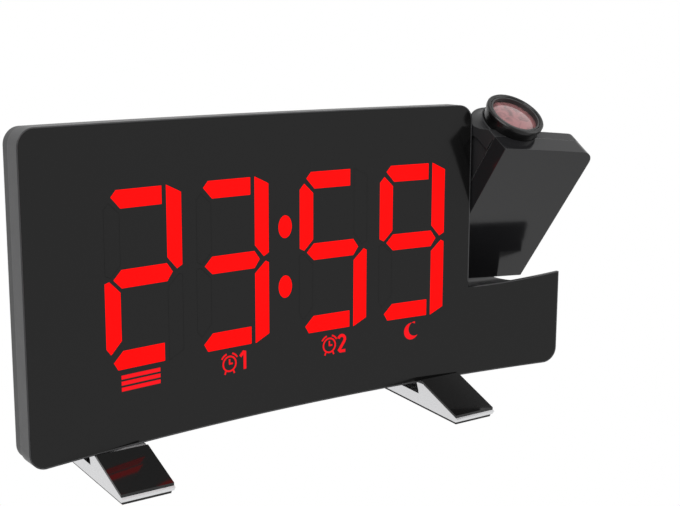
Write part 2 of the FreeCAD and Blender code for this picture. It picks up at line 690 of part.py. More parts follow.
def cover_holes():
    """Openings of the back: door, keys, grille, sockets, screws and the hinge."""
    back = HUMP_BACK
    holes = [through(door_outline(DOOR_GAP), back - DOOR_THICKNESS, back + 1)]
    post = rod(DOOR_POST_RADIUS, back, (DOOR_X + DOOR_POST_X, 0, DOOR_Z + DOOR_POST_Z), (0, 1, 0))
    holes.append(through(door_outline(-COVER_WALL), WELL_FLOOR, back).cut(post))
    holes.append(rod(SMALL_SCREW_RADIUS, 6, (DOOR_X + DOOR_POST_X, WELL_FLOOR, DOOR_Z + DOOR_POST_Z), (0, 1, 0)))
    holes.append(rod(SHAFT_RADIUS + BUSH_WALL, 12, (CUT_X - 8, PIVOT_Y, PIVOT_Z), (1, 0, 0)))
    for x in key_places():
        holes.append(key_bar(x, KEY_GAP, back - 5, back + 1))
    holes.append(snooze_bar(KEY_GAP, SNOOZE_FLANGE_Z + 0.2, HUMP_TOP + 2))
    for i in range(GRILLE_SLOTS):
        step = GRILLE_PITCH * (i - (GRILLE_SLOTS - 1) / 2)
        half = math.sqrt(max(SPEAKER_RADIUS ** 2 - step ** 2, 9)) - 1.5
        z = SPEAKER_Z + step
        slot = rounded(SPEAKER_X - half, SPEAKER_X + half, z - GRILLE_SLOT / 2, z + GRILLE_SLOT / 2,
                       (GRILLE_SLOT * 0.45,) * 4, 0)
        holes.append(through(slot, back - 4, back + 1))
    holes.append(rod(POWER_RADIUS + SOCKET_RIM, 6, (POWER_X, back - 4, SOCKET_Z), (0, 1, 0)))
    w = USB_WIDTH / 2 + 0.2
    h = USB_HEIGHT / 2 + 0.2
    holes.append(box(USB_X - w, USB_X + w, back - 6, back + 1, SOCKET_Z - h, SOCKET_Z + h))
    holes.append(rod(ANTENNA_RADIUS + 1.0, 8, (ANTENNA_X, back - 5, ANTENNA_Z), (0, 1, 0)))
    for x, z in post_places():
        holes.append(rod(SCREW_RADIUS + 0.2, back, (x, 5, z), (0, 1, 0)))
        holes.append(rod(SCREW_HEAD_RADIUS + 0.3, 9, (x, SCREW_SEAT, z), (0, 1, 0)))
    for x, y, z in inner_posts():
        holes.append(rod(SMALL_SCREW_RADIUS, 5, (x, y - 1, z), (0, 1, 0)))
    for x in (FOOT_LEFT_X, FOOT_RIGHT_X):
        holes.append(rod(SCREW_RADIUS, foot_screw_z() + 1, (x, FOOT_SCREW_Y, -1), (0, 0, 1)))
    return holes


def rear_cover():
    """Back shell: slim edge, drafted hump, low base, posts, and its openings."""
    trim = band(FRAME_DEPTH, 2 * BODY_WIDTH)
    cover = layer(COVER_STEP, FRAME_DEPTH, SLAB_DEPTH)
    cover = cover.fuse(hump().common(trim)).fuse(base().common(trim))
    cover = cover.cut(cover_room())
    cover = cover.cut(Part.makeCompound(cover_holes()))
    return cover.cut(swing())


def snooze_bar(gap, z0, z1):
    """Wide rounded bar with the outline of the snooze button."""
    w = SNOOZE_WIDTH / 2 + gap
    d = SNOOZE_DEPTH / 2 + gap
    solid = through(rounded(-w, w, -d, d, (d * 0.9,) * 4, 0), -z1, -z0)
    solid.rotate(Vector(0, 0, 0), Vector(1, 0, 0), -90)
    solid.translate(Vector(SNOOZE_X, SNOOZE_Y, 0))
    return solid


def screw(point, direction, radius, head_radius, head_height, length):
    """Pan-head screw with a cross recess; the point lies under its head."""
    shape = rod(head_radius, head_height, (0, 0, -head_height), (0, 0, 1))
    shape = shape.fuse(rod(radius, length + 0.1, (0, 0, -0.1), (0, 0, 1)))
    arm = head_radius * 0.55
    slot = head_radius * 0.14
    low = -head_height - 0.1
    high = -head_height * 0.45
    shape = shape.cut(box(-arm, arm, -slot, slot, low, high)).cut(box(-slot, slot, -arm, arm, low, high))
    shape.Placement = Placement(Vector(*point), Rotation(Vector(0, 0, 1), Vector(*direction)))
    return shape


def small_screw(point, direction, length):
    """Screw for boards and the battery door."""
    return screw(point, direction, SMALL_SCREW_RADIUS - THREAD_GAP, SMALL_HEAD_RADIUS, SMALL_HEAD_HEIGHT,
                 length)


def large_screw(point, direction, length):
    """Screw for the housing, the feet and the arm."""
    return screw(point, direction, SCREW_RADIUS - THREAD_GAP, SCREW_HEAD_RADIUS, SCREW_HEAD_HEIGHT, length)


def main_board():
    """Circuit board with its chips, drilled over the cover's posts."""
    y0 = MAIN_BOARD_Y
    y1 = y0 + BOARD_THICKNESS
    left = HUMP_LEFT + 22.0
    board = box(left, CUT_X - 11.0, y0, y1, MAIN_BOARD_BOTTOM, MAIN_BOARD_TOP)
    chip = COLON_X + 2.7
    board = board.fuse(box(chip, chip + 9, y0 - 1.0, y0 + 0.1, 27, 36))
    board = board.fuse(box(left + 12, left + 20, y1 - 0.1, y1 + 1.6, 22, 34))
    for z in (28, 36):
        board = board.fuse(rod(3.0, 3.6, (CUT_X - 18.8, y1 - 0.1, z), (0, 1, 0)))
    for x, z in main_board_posts():
        board = board.cut(rod(SMALL_SCREW_RADIUS + 0.1, 6, (x, y0 - 2, z), (0, 1, 0)))
    return board


def power_socket():
    """Low-voltage inlet: square body, round mouth with a centre pin."""
    y0 = MAIN_BOARD_Y + BOARD_THICKNESS + SEAT_GAP
    wall = HUMP_BACK - COVER_WALL - 0.2
    body = box(POWER_X - 4.3, POWER_X + 4.3, y0, wall, SOCKET_Z - 4.4, SOCKET_Z + 4.4)
    body = body.fuse(rod(POWER_RADIUS + SOCKET_RIM - 0.1, HUMP_BACK - 0.2 - wall + 1,
                         (POWER_X, wall - 1, SOCKET_Z), (0, 1, 0)))
    body = body.cut(rod(POWER_RADIUS, 12, (POWER_X, y0 + 3.5, SOCKET_Z), (0, 1, 0)))
    return body.fuse(rod(POWER_PIN, HUMP_BACK - 1.2 - y0 - 3, (POWER_X, y0 + 3, SOCKET_Z), (0, 1, 0)))


def usb_port():
    """Charging outlet: folded metal shell round a flat tongue."""
    y0 = MAIN_BOARD_Y + BOARD_THICKNESS + SEAT_GAP
    y1 = HUMP_BACK - 0.2
    w = USB_WIDTH / 2
    h = USB_HEIGHT / 2
    shell = 0.4
    body = box(USB_X - w, USB_X + w, y0, y1, SOCKET_Z - h, SOCKET_Z + h)
    body = body.cut(box(USB_X - w + shell, USB_X + w - shell, y0 + 2, y1 + 1,
                        SOCKET_Z - h + shell, SOCKET_Z + h - shell))
    return body.fuse(box(USB_X - w + 1, USB_X + w - 1, y0 + 1.9, y1 - 1.0, SOCKET_Z + 0.2, SOCKET_Z + 1.8))


def antenna_grommet():
    """Inlet for the radio's wire aerial."""
    y1 = HUMP_BACK
    point = (ANTENNA_X, y1 - COVER_WALL - 1.0, ANTENNA_Z)
    sleeve = rod(ANTENNA_RADIUS + 0.95, COVER_WALL + 1.7, point, (0, 1, 0))
    inner = rod(ANTENNA_RADIUS + 1.8, 0.9, point, (0, 1, 0))
    outer = rod(ANTENNA_RADIUS + 1.8, 0.7, (ANTENNA_X, y1, ANTENNA_Z), (0, 1, 0))
    body = sleeve.fuse(inner).fuse(outer)
    return body.cut(rod(ANTENNA_RADIUS / 2, 10, (ANTENNA_X, y1 - 6, ANTENNA_Z), (0, 1, 0)))


def speaker():
    """Round loudspeaker behind the grille: basket, cone and magnet."""
    y = HUMP_BACK - COVER_WALL - SEAT_GAP
    r = SPEAKER_RADIUS
    d = SPEAKER_DEPTH
    profile = [(0, y - d), (r * 0.5, y - d), (r * 0.5, y - d * 0.5), (r * 0.9, y - 1.8), (r, y - 1.8), (r, y),
               (r * 0.92, y), (r * 0.92, y - 0.7), (r * 0.35, y - 2.4), (r * 0.2, y - 1.5), (0, y - 1.2)]
    face = Part.Face(Part.makePolygon([Vector(x, py, 0) for x, py in profile] + [Vector(0, y - d, 0)]))
    body = face.revolve(Vector(0, 0, 0), Vector(0, 1, 0), 360)
    body.translate(Vector(SPEAKER_X, 0, SPEAKER_Z))
    return body


def battery_door():
    """Screwed lid of the memory battery, with a ring that steadies the cell."""
    back = HUMP_BACK
    door = through(door_outline(0), back - DOOR_THICKNESS + SEAT_GAP, back)
    cell_top = WELL_FLOOR + CONTACT_THICKNESS + CELL_BATTERY_THICKNESS + 2 * SEAT_GAP
    door = door.fuse(tube(6, 5, back - 1.0 - cell_top - SEAT_GAP, (DOOR_X, cell_top + SEAT_GAP, DOOR_Z), (0, 1, 0)))
    x = DOOR_X + DOOR_POST_X
    z = DOOR_Z + DOOR_POST_Z
    door = door.cut(rod(SMALL_SCREW_RADIUS + 0.15, 6, (x, back - 4, z), (0, 1, 0)))
    door = door.cut(rod(SMALL_HEAD_RADIUS + 0.2, 2, (x, back - 0.7, z), (0, 1, 0)))
    for i in range(4):
        groove = box(DOOR_X - 7, DOOR_X + 7, back - 0.4, back + 1, 0, 0.9)
        groove.translate(Vector(0, 0, DOOR_Z + 5 + 1.8 * i - 0.45))
        door = door.cut(groove)
    return door


def coin_cell():
    """Memory battery."""
    y = WELL_FLOOR + CONTACT_THICKNESS + 2 * SEAT_GAP
    cell = rod(CELL_BATTERY_RADIUS, CELL_BATTERY_THICKNESS, (DOOR_X, y, DOOR_Z), (0, 1, 0))
    return cell.cut(tube(CELL_BATTERY_RADIUS - 0.8, CELL_BATTERY_RADIUS - 1.2, 0.2, (DOOR_X, y, DOOR_Z), (0, 1, 0)))


def battery_contact():
    """Spring strip under the cell, with an upturned side."""
    y = WELL_FLOOR + SEAT_GAP
    side = DOOR_X - CELL_BATTERY_RADIUS - 0.3
    strip = box(side - 3, DOOR_X + 4, y, y + CONTACT_THICKNESS, DOOR_Z - 3, DOOR_Z + 3)
    return strip.fuse(box(side - 0.5, side, y, y + 3.4, DOOR_Z - 3, DOOR_Z + 3))


def key_board():
    """Small board behind the keys, with a tab below the snooze button."""
    y = KEY_BOARD_Y
    first = key_board_posts()[0][0]
    last = key_board_posts()[1][0]
    board = box(first - 3, last + 3, y, y + BOARD_THICKNESS, KEY_ROW_Z - 6.5, KEY_ROW_Z + 6.5)
    x = SNOOZE_SWITCH_X
    board = board.fuse(box(x - 5, x + 5, y, y + BOARD_THICKNESS, KEY_ROW_Z + 6, KEY_ROW_Z + 14))
    for x, z in key_board_posts():
        board = board.cut(rod(SMALL_SCREW_RADIUS + 0.1, 6, (x, y - 2, z), (0, 1, 0)))
    return board


def board_top(y):
    """Rear side of a board whose front side is at y, with room for a switch."""
    return y + BOARD_THICKNESS + SEAT_GAP


def tact_switches():
    """Switches under the five keys, and one that faces up to the snooze button."""
    y = board_top(KEY_BOARD_Y)
    half = SWITCH_SIZE / 2
    solids = []
    for x in key_places():
        body = box(x - half, x + half, y, y + SWITCH_HEIGHT, KEY_ROW_Z - half, KEY_ROW_Z + half)
        solids.append(body.fuse(rod(PLUNGER_RADIUS, PLUNGER_HEIGHT + 0.1,
                                    (x, y + SWITCH_HEIGHT - 0.1, KEY_ROW_Z), (0, 1, 0))))
    x = SNOOZE_SWITCH_X
    top = KEY_ROW_Z + 13.5
    body = box(x - half, x + half, y, y + SWITCH_HEIGHT, top - SWITCH_SIZE, top)
    solids.append(body.fuse(rod(PLUNGER_RADIUS * 0.7, PLUNGER_HEIGHT + 0.1,
                                (x, y + SWITCH_HEIGHT / 2, top - 0.1), (0, 0, 1))))
    return Part.makeCompound(solids)


def row_key(x):
    """Key of the row: rounded cap, retaining flange and a stem for its switch."""
    inside = HUMP_BACK - COVER_WALL - 0.1
    stem = board_top(KEY_BOARD_Y) + SWITCH_HEIGHT + PLUNGER_HEIGHT + KEY_TRAVEL + 0.1
    cap = key_bar(x, 0, inside - 0.5, HUMP_BACK + KEY_PROUD)
    flange = key_bar(x, KEY_FLANGE, inside - 1.0, inside)
    key = cap.fuse(flange).fuse(rod(2.0, inside - 0.5 - stem, (x, stem, KEY_ROW_Z), (0, 1, 0)))
    dish = rod(14.0, 40, (x, HUMP_BACK + KEY_PROUD + 13.6, KEY_ROW_Z - 20), (0, 0, 1))
    return key.cut(dish)


def snooze_button():
    """Long bar on top, with a flange below the cover and a stem for its switch."""
    top = SNOOZE_FLANGE_Z
    stem = KEY_ROW_Z + 13.5 + PLUNGER_HEIGHT + KEY_TRAVEL + 0.1
    bar = snooze_bar(0, top - 0.8, SNOOZE_TOP)
    flange = snooze_bar(KEY_FLANGE, top - 1.0, top)
    x = SNOOZE_SWITCH_X
    y = board_top(KEY_BOARD_Y) + SWITCH_HEIGHT / 2
    button = bar.fuse(flange).fuse(box(x - 2, x + 2, y - 1.4, y + 1.4, stem, top - 0.5))
    ridges = []
    for i in range(-3, 4):
        ridges.append(box(SNOOZE_X + 4 * i - 0.5, SNOOZE_X + 4 * i + 0.5, SNOOZE_Y - 2, SNOOZE_Y + 2,
                          SNOOZE_TOP - 0.4, SNOOZE_TOP + 1))
    return button.cut(Part.makeCompound(ridges))


# Hinge

def hinge_bush():
    """Flanged plain bearing in the side of the hump."""
    x = CUT_X - BUSH_SEAT
    sleeve = rod(SHAFT_RADIUS + BUSH_WALL - THREAD_GAP, BUSH_SEAT + 0.1, (x - 0.1, PIVOT_Y, PIVOT_Z), (1, 0, 0))
    flange = rod(BUSH_FLANGE_RADIUS, BUSH_FLANGE, (x - BUSH_FLANGE, PIVOT_Y, PIVOT_Z), (1, 0, 0))
    return sleeve.fuse(flange).cut(rod(SHAFT_RADIUS + SHAFT_FIT, 20, (x - 5, PIVOT_Y, PIVOT_Z), (1, 0, 0)))


def washer_x():
    """Inner end of the friction washer."""
    return CUT_X - BUSH_SEAT - BUSH_FLANGE - WASHER_THICKNESS - SHAFT_FIT


def friction_washer():
    """Washer between bush and clip, which keeps the arm where it is put."""
    return tube(BUSH_FLANGE_RADIUS - 0.2, SHAFT_RADIUS + 0.1, WASHER_THICKNESS,
                (washer_x(), PIVOT_Y, PIVOT_Z), (1, 0, 0))


def shaft_clip():
    """Open ring that snaps into the groove of the hinge tube."""
    x = washer_x() - SHAFT_FIT - CLIP_THICKNESS
    clip = tube(CLIP_RADIUS, SHAFT_RADIUS - 0.75, CLIP_THICKNESS, (x, PIVOT_Y, PIVOT_Z), (1, 0, 0))
    return clip.cut(box(x - 1, x + 2, PIVOT_Y - CLIP_MOUTH / 2, PIVOT_Y + CLIP_MOUTH / 2, PIVOT_Z - 20, PIVOT_Z))


def hinge_shaft():
    """Hollow hinge tube: the wires of the projector pass through it."""
    clip = washer_x() - SHAFT_FIT - CLIP_THICKNESS
    x0 = clip - 0.7
    x1 = ARM_LEFT + ARM_WALL + SEAT_GAP
    shaft = rod(SHAFT_RADIUS, x1 - x0 + 0.1, (x0, PIVOT_Y, PIVOT_Z), (1, 0, 0))
    shaft = shaft.fuse(rod(HINGE_FLANGE_RADIUS, HINGE_FLANGE_THICKNESS, (x1, PIVOT_Y, PIVOT_Z), (1, 0, 0)))
    shaft = shaft.cut(tube(SHAFT_RADIUS + 1, SHAFT_RADIUS - 0.8, CLIP_THICKNESS + 0.1,
                           (clip - 0.05, PIVOT_Y, PIVOT_Z), (1, 0, 0)))
    return shaft.cut(rod(SHAFT_BORE, 40, (x0 - 5, PIVOT_Y, PIVOT_Z), (1, 0, 0)))


# Arm, drawn closed: its face then carries on the face of the body

def arm_outline(inset=0.0):
    """Outline of the arm seen from the front, with its lower edge along the ledge."""
    left = ARM_LEFT + inset
    right = HALF_WIDTH - inset
    low = LEDGE_HEIGHT + ARM_LEDGE_GAP + inset
    high = BODY_HEIGHT - inset
    r = max(ARM_CORNER - inset, 0.5)
    return loop([
        ((left + right) / 2, low + LEDGE_RISE * 0.28, right, low + LEDGE_RISE),
        (right, high - r),
        corner(right, high, r, 1, 1) + (right - r, high),
        (left, high),
        (left, low),
    ])


def arm_side(inset=0.0):
    """Side view of the arm behind its slab: round ends, and a roof that falls towards the free end."""
    back = face_y(ARM_LEFT) + ARM_DEPTH - inset
    low = LEDGE_HEIGHT + inset
    heel = PIVOT_Y - inset / 2
    bottom = ARM_BACK_BOTTOM + inset / 2
    profiles = []
    for high, reach, top, bulge in ((ARM_BACK_TOP, 8.6, ARM_SHOULDER, 2.4), (ARM_FALL_LOW, 15.0, ARM_FALL_TOP, 0.7)):
        high = high - inset / 2
        top = top - inset
        middle = (back - reach / 2 + bulge, (high + top) / 2 + bulge)
        profiles.append(loop([
            (heel, low),
            (heel + (back - heel) * 0.70, low + (bottom - low) * 0.34, back, bottom),
            (back, high),
            middle + (back - reach, top),
            (-10, top),
            (-10, low),
        ]))
    x0 = ARM_LEFT + inset
    x1 = LENS_X + FLARE_RADIUS
    for wire, x in zip(profiles, (x0, x1)):
        wire.rotate(Vector(0, 0, 0), Vector(0, 0, 1), 90)
        wire.translate(Vector(x, 0, 0))
    falling = Part.makeLoft(profiles, True, True)
    return falling.fuse(Part.Face(profiles[1]).extrude(Vector(HALF_WIDTH - inset - x1, 0, 0)))


def arm_plan(inset=0.0):
    """Plan view of the arm: square beside the body and rounded at the free end."""
    back = face_y(ARM_LEFT) + ARM_DEPTH - inset
    r = max(ARM_REAR_CORNER - inset, 0.5)
    solid = through(rounded(ARM_LEFT + inset, HALF_WIDTH - inset, -10, back, (0.5, r, 0.5, 0.5), 0),
                    -BODY_HEIGHT - 10, 0)
    solid.rotate(Vector(0, 0, 0), Vector(1, 0, 0), -90)
    return solid


def arm_solid(inset=0.0):
    """Arm as a full block; with an inset it is the room inside the covers."""
    outline = through(arm_outline(inset))
    slab = outline.common(band(inset, ARM_SLAB_DEPTH - inset))
    rear = outline.common(band(inset, 60)).common(arm_side(inset)).common(arm_plan(inset))
    top = ARM_SHOULDER - (COLLAR_CAP if inset else 0)
    collar = rod(FLARE_RADIUS - inset, top - COLLAR_LOW, (LENS_X, LENS_Y, COLLAR_LOW), (0, 0, 1))
    block = slab.fuse(rear).fuse(collar.common(outline).common(arm_plan(inset)))
    if inset == 0:
        d = ARM_SLAB_DEPTH
        slope = turned([(d - 1, BODY_HEIGHT), (d, BODY_HEIGHT), (d + 3.4, ARM_SHOULDER + 1.3),
                        (d + 6.8, ARM_SHOULDER - 0.1), (d - 1, ARM_SHOULDER - 0.1)])
        block = block.fuse(slope.common(outline).common(box(0, LENS_X, -10, 60, 0, 2 * BODY_HEIGHT)))
    return block


def arm_screw_places():
    """Places of the screws that join the two covers of the arm."""
    right = HALF_WIDTH - 7.0
    return [(right, BODY_HEIGHT - 16.5), (right, LEDGE_HEIGHT + 9.0), (ARM_LEFT + 6.6, LEDGE_HEIGHT + 9.0)]


def about_lens(points):
    """Solid of revolution about the axis of the lens, from radius and height."""
    face = polygon([(x, 0, z) for x, z in points])
    solid = face.revolve(Vector(0, 0, 0), Vector(0, 0, 1), 360)
    solid.translate(Vector(LENS_X, LENS_Y, 0))
    return solid


def arm_front_cover():
    """Face of the arm with its rim and the posts for the screws."""
    shell = arm_solid().common(band(-1, ARM_COVER_DEPTH)).cut(arm_solid(ARM_WALL))
    for x, z in arm_screw_places():
        post = rod(ARM_POST_RADIUS - 0.7, ARM_POST_MEET, (x, 0, z), (0, 1, 0)).common(band(ARM_WALL - 0.2, 60))
        shell = shell.fuse(post.cut(rod(SCREW_RADIUS, 6, (x, ARM_POST_MEET - 5.5, z), (0, 1, 0))))
    return shell.cut(ring_bore())


def ring_bore():
    """Round space in which the focus ring turns."""
    return rod(NECK_RADIUS + NECK_FIT, 20, (LENS_X, LENS_Y, RING_TOP - RING_LENGTH - 0.3), (0, 0, 1))


def neck_flare():
    """Hollow-sided collar from which the focus ring rises."""
    low = ARM_SHOULDER - 1.0
    r = NECK_RADIUS + NECK_FIT
    points = [(r, low), (FLARE_RADIUS, low)]
    for i in range(7):
        turn = math.radians(90.0 * i / 6)
        points.append((r + 0.5 + (FLARE_RADIUS - r - 0.5) * (1 - math.sin(turn)),
                       ARM_SHOULDER + FLARE_HEIGHT * (1 - math.cos(turn))))
    points.append((r, ARM_SHOULDER + FLARE_HEIGHT))
    return about_lens(points)


def arm_rear_cover():
    """Back of the arm: sunk side, collar for the focus ring, and posts inside."""
    full = arm_solid()
    cover = full.fuse(neck_flare().common(through(arm_outline()))).common(band(ARM_COVER_DEPTH, 60))
    sunk = arm_solid(SIDE_POCKET_RIM)
    sunk.translate(Vector(-SIDE_POCKET_RIM - 10, 0, 0))
    sunk = sunk.common(band(ARM_COVER_DEPTH, 60)).common(box(0, ARM_LEFT + SIDE_POCKET_DEPTH, 0, 60, 0, 100))
    room = arm_solid(ARM_WALL)
    for x, z in arm_screw_places():
        room = room.cut(rod(ARM_POST_RADIUS, 30, (x, ARM_POST_MEET + SEAT_GAP, z), (0, 1, 0)))
    for z in arm_board_posts():
        y = ARM_KEY_BOARD_Y + BOARD_THICKNESS
        room = room.cut(rod(ARM_BOARD_POST_RADIUS, 20, (ARM_KEY_X, y, z), (0, 1, 0)))
    rail = PROJECTOR_BOARD_Z - 1.5
    y0 = PIVOT_Y + 0.5
    room = room.cut(box(0, ARM_LEFT + ARM_WALL + 1.6, y0, y0 + 5.5, rail, PROJECTOR_BOARD_Z))
    room = room.cut(box(HALF_WIDTH - ARM_WALL - 1.6, FAR, y0, y0 + 4.5, rail, PROJECTOR_BOARD_Z))
    cover = cover.cut(room).cut(sunk)
    bore = NECK_RADIUS + NECK_FIT
    lip = tube(bore + 1, bore - SNAP_DEPTH, 0.6, (LENS_X, LENS_Y, ARM_SHOULDER + 1.4), (0, 0, 1))
    cover = cover.cut(ring_bore().cut(lip))
    cover = cover.cut(rod(SHAFT_RADIUS + SEAT_GAP, 10, (ARM_LEFT - 5, PIVOT_Y, PIVOT_Z), (1, 0, 0)))
    cover = cover.cut(rod(ARM_KEY_RADIUS + KEY_GAP, 10, (ARM_KEY_X, arm_back() - 4, ARM_KEY_Z), (0, 1, 0)))
    for x, z in arm_screw_places():
        cover = cover.cut(rod(SCREW_RADIUS + 0.2, 20, (x, ARM_POST_MEET - 2.8, z), (0, 1, 0)))
        cover = cover.cut(rod(SCREW_HEAD_RADIUS + 0.3, 20, (x, ARM_SCREW_SEAT, z), (0, 1, 0)))
    for z in arm_board_posts():
        y = ARM_KEY_BOARD_Y + BOARD_THICKNESS
        cover = cover.cut(rod(SMALL_SCREW_RADIUS, 5, (ARM_KEY_X, y - 1, z), (0, 1, 0)))
    return cover


def arm_back():
    """Depth of the arm's back."""
    return face_y(ARM_LEFT) + ARM_DEPTH


def arm_board_posts():
    """Heights of the posts that carry the board of the arm's key."""
    return [ARM_KEY_Z - 6.2, ARM_KEY_Z + 6.2]


def arm_key_board():
    """Small board of the arm's key."""
    y = ARM_KEY_BOARD_Y
    board = box(ARM_KEY_X - 5.5, ARM_KEY_X + 5.5, y, y + BOARD_THICKNESS, ARM_KEY_Z - 8.5, ARM_KEY_Z + 8.5)
    for z in arm_board_posts():
        board = board.cut(rod(SMALL_SCREW_RADIUS + 0.1, 6, (ARM_KEY_X, y - 2, z), (0, 1, 0)))
    return board


def arm_switch():
    """Switch of the arm's key."""
    y = board_top(ARM_KEY_BOARD_Y)
    half = SWITCH_SIZE / 2
    body = box(ARM_KEY_X - half, ARM_KEY_X + half, y, y + SWITCH_HEIGHT, ARM_KEY_Z - half, ARM_KEY_Z + half)
    return body.fuse(rod(PLUNGER_RADIUS, PLUNGER_HEIGHT + 0.1, (ARM_KEY_X, y + SWITCH_HEIGHT - 0.1, ARM_KEY_Z),
                         (0, 1, 0)))


def projection_button():
    """Round key on the back of the arm."""
    inside = arm_back() - ARM_WALL - 0.1
    stem = board_top(ARM_KEY_BOARD_Y) + SWITCH_HEIGHT + PLUNGER_HEIGHT + KEY_TRAVEL + 0.1
    outer = arm_back() + KEY_PROUD
    key = rod(ARM_KEY_RADIUS, outer - inside + 0.5, (ARM_KEY_X, inside - 0.5, ARM_KEY_Z), (0, 1, 0))
    key = key.fuse(rod(ARM_KEY_RADIUS + KEY_FLANGE, 0.8, (ARM_KEY_X, inside - 0.8, ARM_KEY_Z), (0, 1, 0)))
    key = key.fuse(rod(1.8, inside - 0.5 - stem, (ARM_KEY_X, stem, ARM_KEY_Z), (0, 1, 0)))
    return key.cut(Part.makeSphere(12, Vector(ARM_KEY_X, outer + 11.6, ARM_KEY_Z)))


def projector_board():
    """Level board at the foot of the light path, resting on rails."""
    y0 = face_y(ARM_LEFT) + 3.0
    return box(ARM_LEFT + ARM_WALL + 0.1, HALF_WIDTH - ARM_WALL - 1.4, y0, PIVOT_Y + 8.0,
               PROJECTOR_BOARD_Z + SEAT_GAP, PROJECTOR_BOARD_Z + SEAT_GAP + BOARD_THICKNESS)


def board_z():
    """Upper side of the projector board."""
    return PROJECTOR_BOARD_Z + 2 * SEAT_GAP + BOARD_THICKNESS


def projector_led():
    """Light source on the projector board."""
    z = board_z()
    base = box(LENS_X - 2.5, LENS_X + 2.5, LENS_Y - 2.5, LENS_Y + 2.5, z, z + 1.2)
    dome = Part.makeSphere(1.9, Vector(LENS_X, LENS_Y, z + 1.0)).common(box(LENS_X - 3, LENS_X + 3, LENS_Y - 3, LENS_Y + 3, z + 1.0, z + 5))
    return base.fuse(dome)


def optics_tube():
    """Tube of the light path, with shelves for condenser and slide."""
    z = board_z()
    r = TUBE_RADIUS
    inner = r - TUBE_WALL
    shelf = inner - 1.2
    return about_lens([
        (r, z), (r, TUBE_TOP - 1.6), (r + 1.8, TUBE_TOP - 1.6), (r + 1.8, TUBE_TOP), (inner, TUBE_TOP),
        (inner, SLIDE_Z), (shelf, SLIDE_Z), (shelf, SLIDE_Z - 1), (inner, SLIDE_Z - 1),
        (inner, CONDENSER_Z), (shelf, CONDENSER_Z), (shelf, CONDENSER_Z - 1), (inner, CONDENSER_Z - 1),
        (inner, z),
    ])


def lens_solid(radius, z, edge, upper, lower):
    """Round lens with a bulge above and below its edge."""
    points = [(0, z - lower)]
    for i in range(1, 7):
        points.append((radius * i / 6, z - lower * (1 - (i / 6) ** 2)))
    for i in range(6, 0, -1):
        points.append((radius * i / 6, z + edge + upper * (1 - (i / 6) ** 2)))
    points.append((0, z + edge + upper))
    return about_lens(points)


def condenser_lens():
    """Lens that gathers the light on the slide."""
    return lens_solid(TUBE_RADIUS - TUBE_WALL - 0.05, CONDENSER_Z + SEAT_GAP, 1.6, 1.6, 0.0)


def lcd_slide():
    """Small display that the light passes through: the time is drawn on it."""
    half = (TUBE_RADIUS - TUBE_WALL) * 0.69
    z = SLIDE_Z + SEAT_GAP
    return box(LENS_X - half, LENS_X + half, LENS_Y - half, LENS_Y + half, z, z + 1.4)


def cell_outer():
    """Outer radius of the lens cell."""
    return NECK_RADIUS - RING_WALL - FOCUS_GAP


def focus_ring():
    """Ring that turns on the neck and moves the lens cell."""
    bore = NECK_RADIUS - RING_WALL
    low = RING_TOP - RING_LENGTH
    head = RING_TOP - RING_HEAD
    groove = ARM_SHOULDER + 1.4
    cut = NECK_RADIUS - SNAP_DEPTH
    return about_lens([
        (bore, low), (NECK_RADIUS, low), (NECK_RADIUS, groove - 0.15), (cut, groove - 0.15),
        (cut, groove + 0.75), (NECK_RADIUS, groove + 0.75), (NECK_RADIUS, head - 0.2),
        (RING_RADIUS, head), (RING_RADIUS, RING_TOP - 0.35), (RING_RADIUS - 0.35, RING_TOP),
        (bore + 0.3, RING_TOP), (bore, RING_TOP - 0.3),
    ])


def lens_cell():
    """Sleeve that carries the lens up and down inside the focus ring."""
    r = cell_outer()
    inner = r - CELL_WALL
    top = RING_TOP - CELL_RECESS
    seat = top - 0.3 - LENS_THICKNESS
    return about_lens([
        (inner, top - CELL_LENGTH), (r, top - CELL_LENGTH), (r, top), (inner, top), (inner, seat),
        (inner - 0.9, seat), (inner - 0.9, seat - 0.9), (inner, seat - 1.8),
    ])


def projection_lens():
    """Front lens of the projector."""
    top = RING_TOP - CELL_RECESS
    seat = top - 0.3 - LENS_THICKNESS
    r = cell_outer() - CELL_WALL - THREAD_GAP
    return lens_solid(r, seat + SEAT_GAP, LENS_THICKNESS - 1.2, 1.1, 0.0)


# Feet, drawn as they stand

def under_z(y):
    """Height of the leaned underside above the table."""
    return UNDERSIDE_HEIGHT - y * math.tan(math.radians(LEAN))


def plate_end(x):
    """End of the foot's upper plate, just before the face."""
    return face_y(abs(x) + FOOT_WIDTH / 2) - 0.3


def foot_slope():
    """Rise of the foot's upper side, from its toe to the face."""
    y = face_y(FOOT_LEFT_X) - 0.5
    return (UNDERSIDE_HEIGHT + 0.2 - TOE_HEIGHT) / (y + FOOT_TOE - 0.8)


def extruded(points, x, width):
    """Bar with a side view in y and z."""
    face = polygon([(x - width / 2, y, z) for y, z in points])
    return face.extrude(Vector(width, 0, 0))


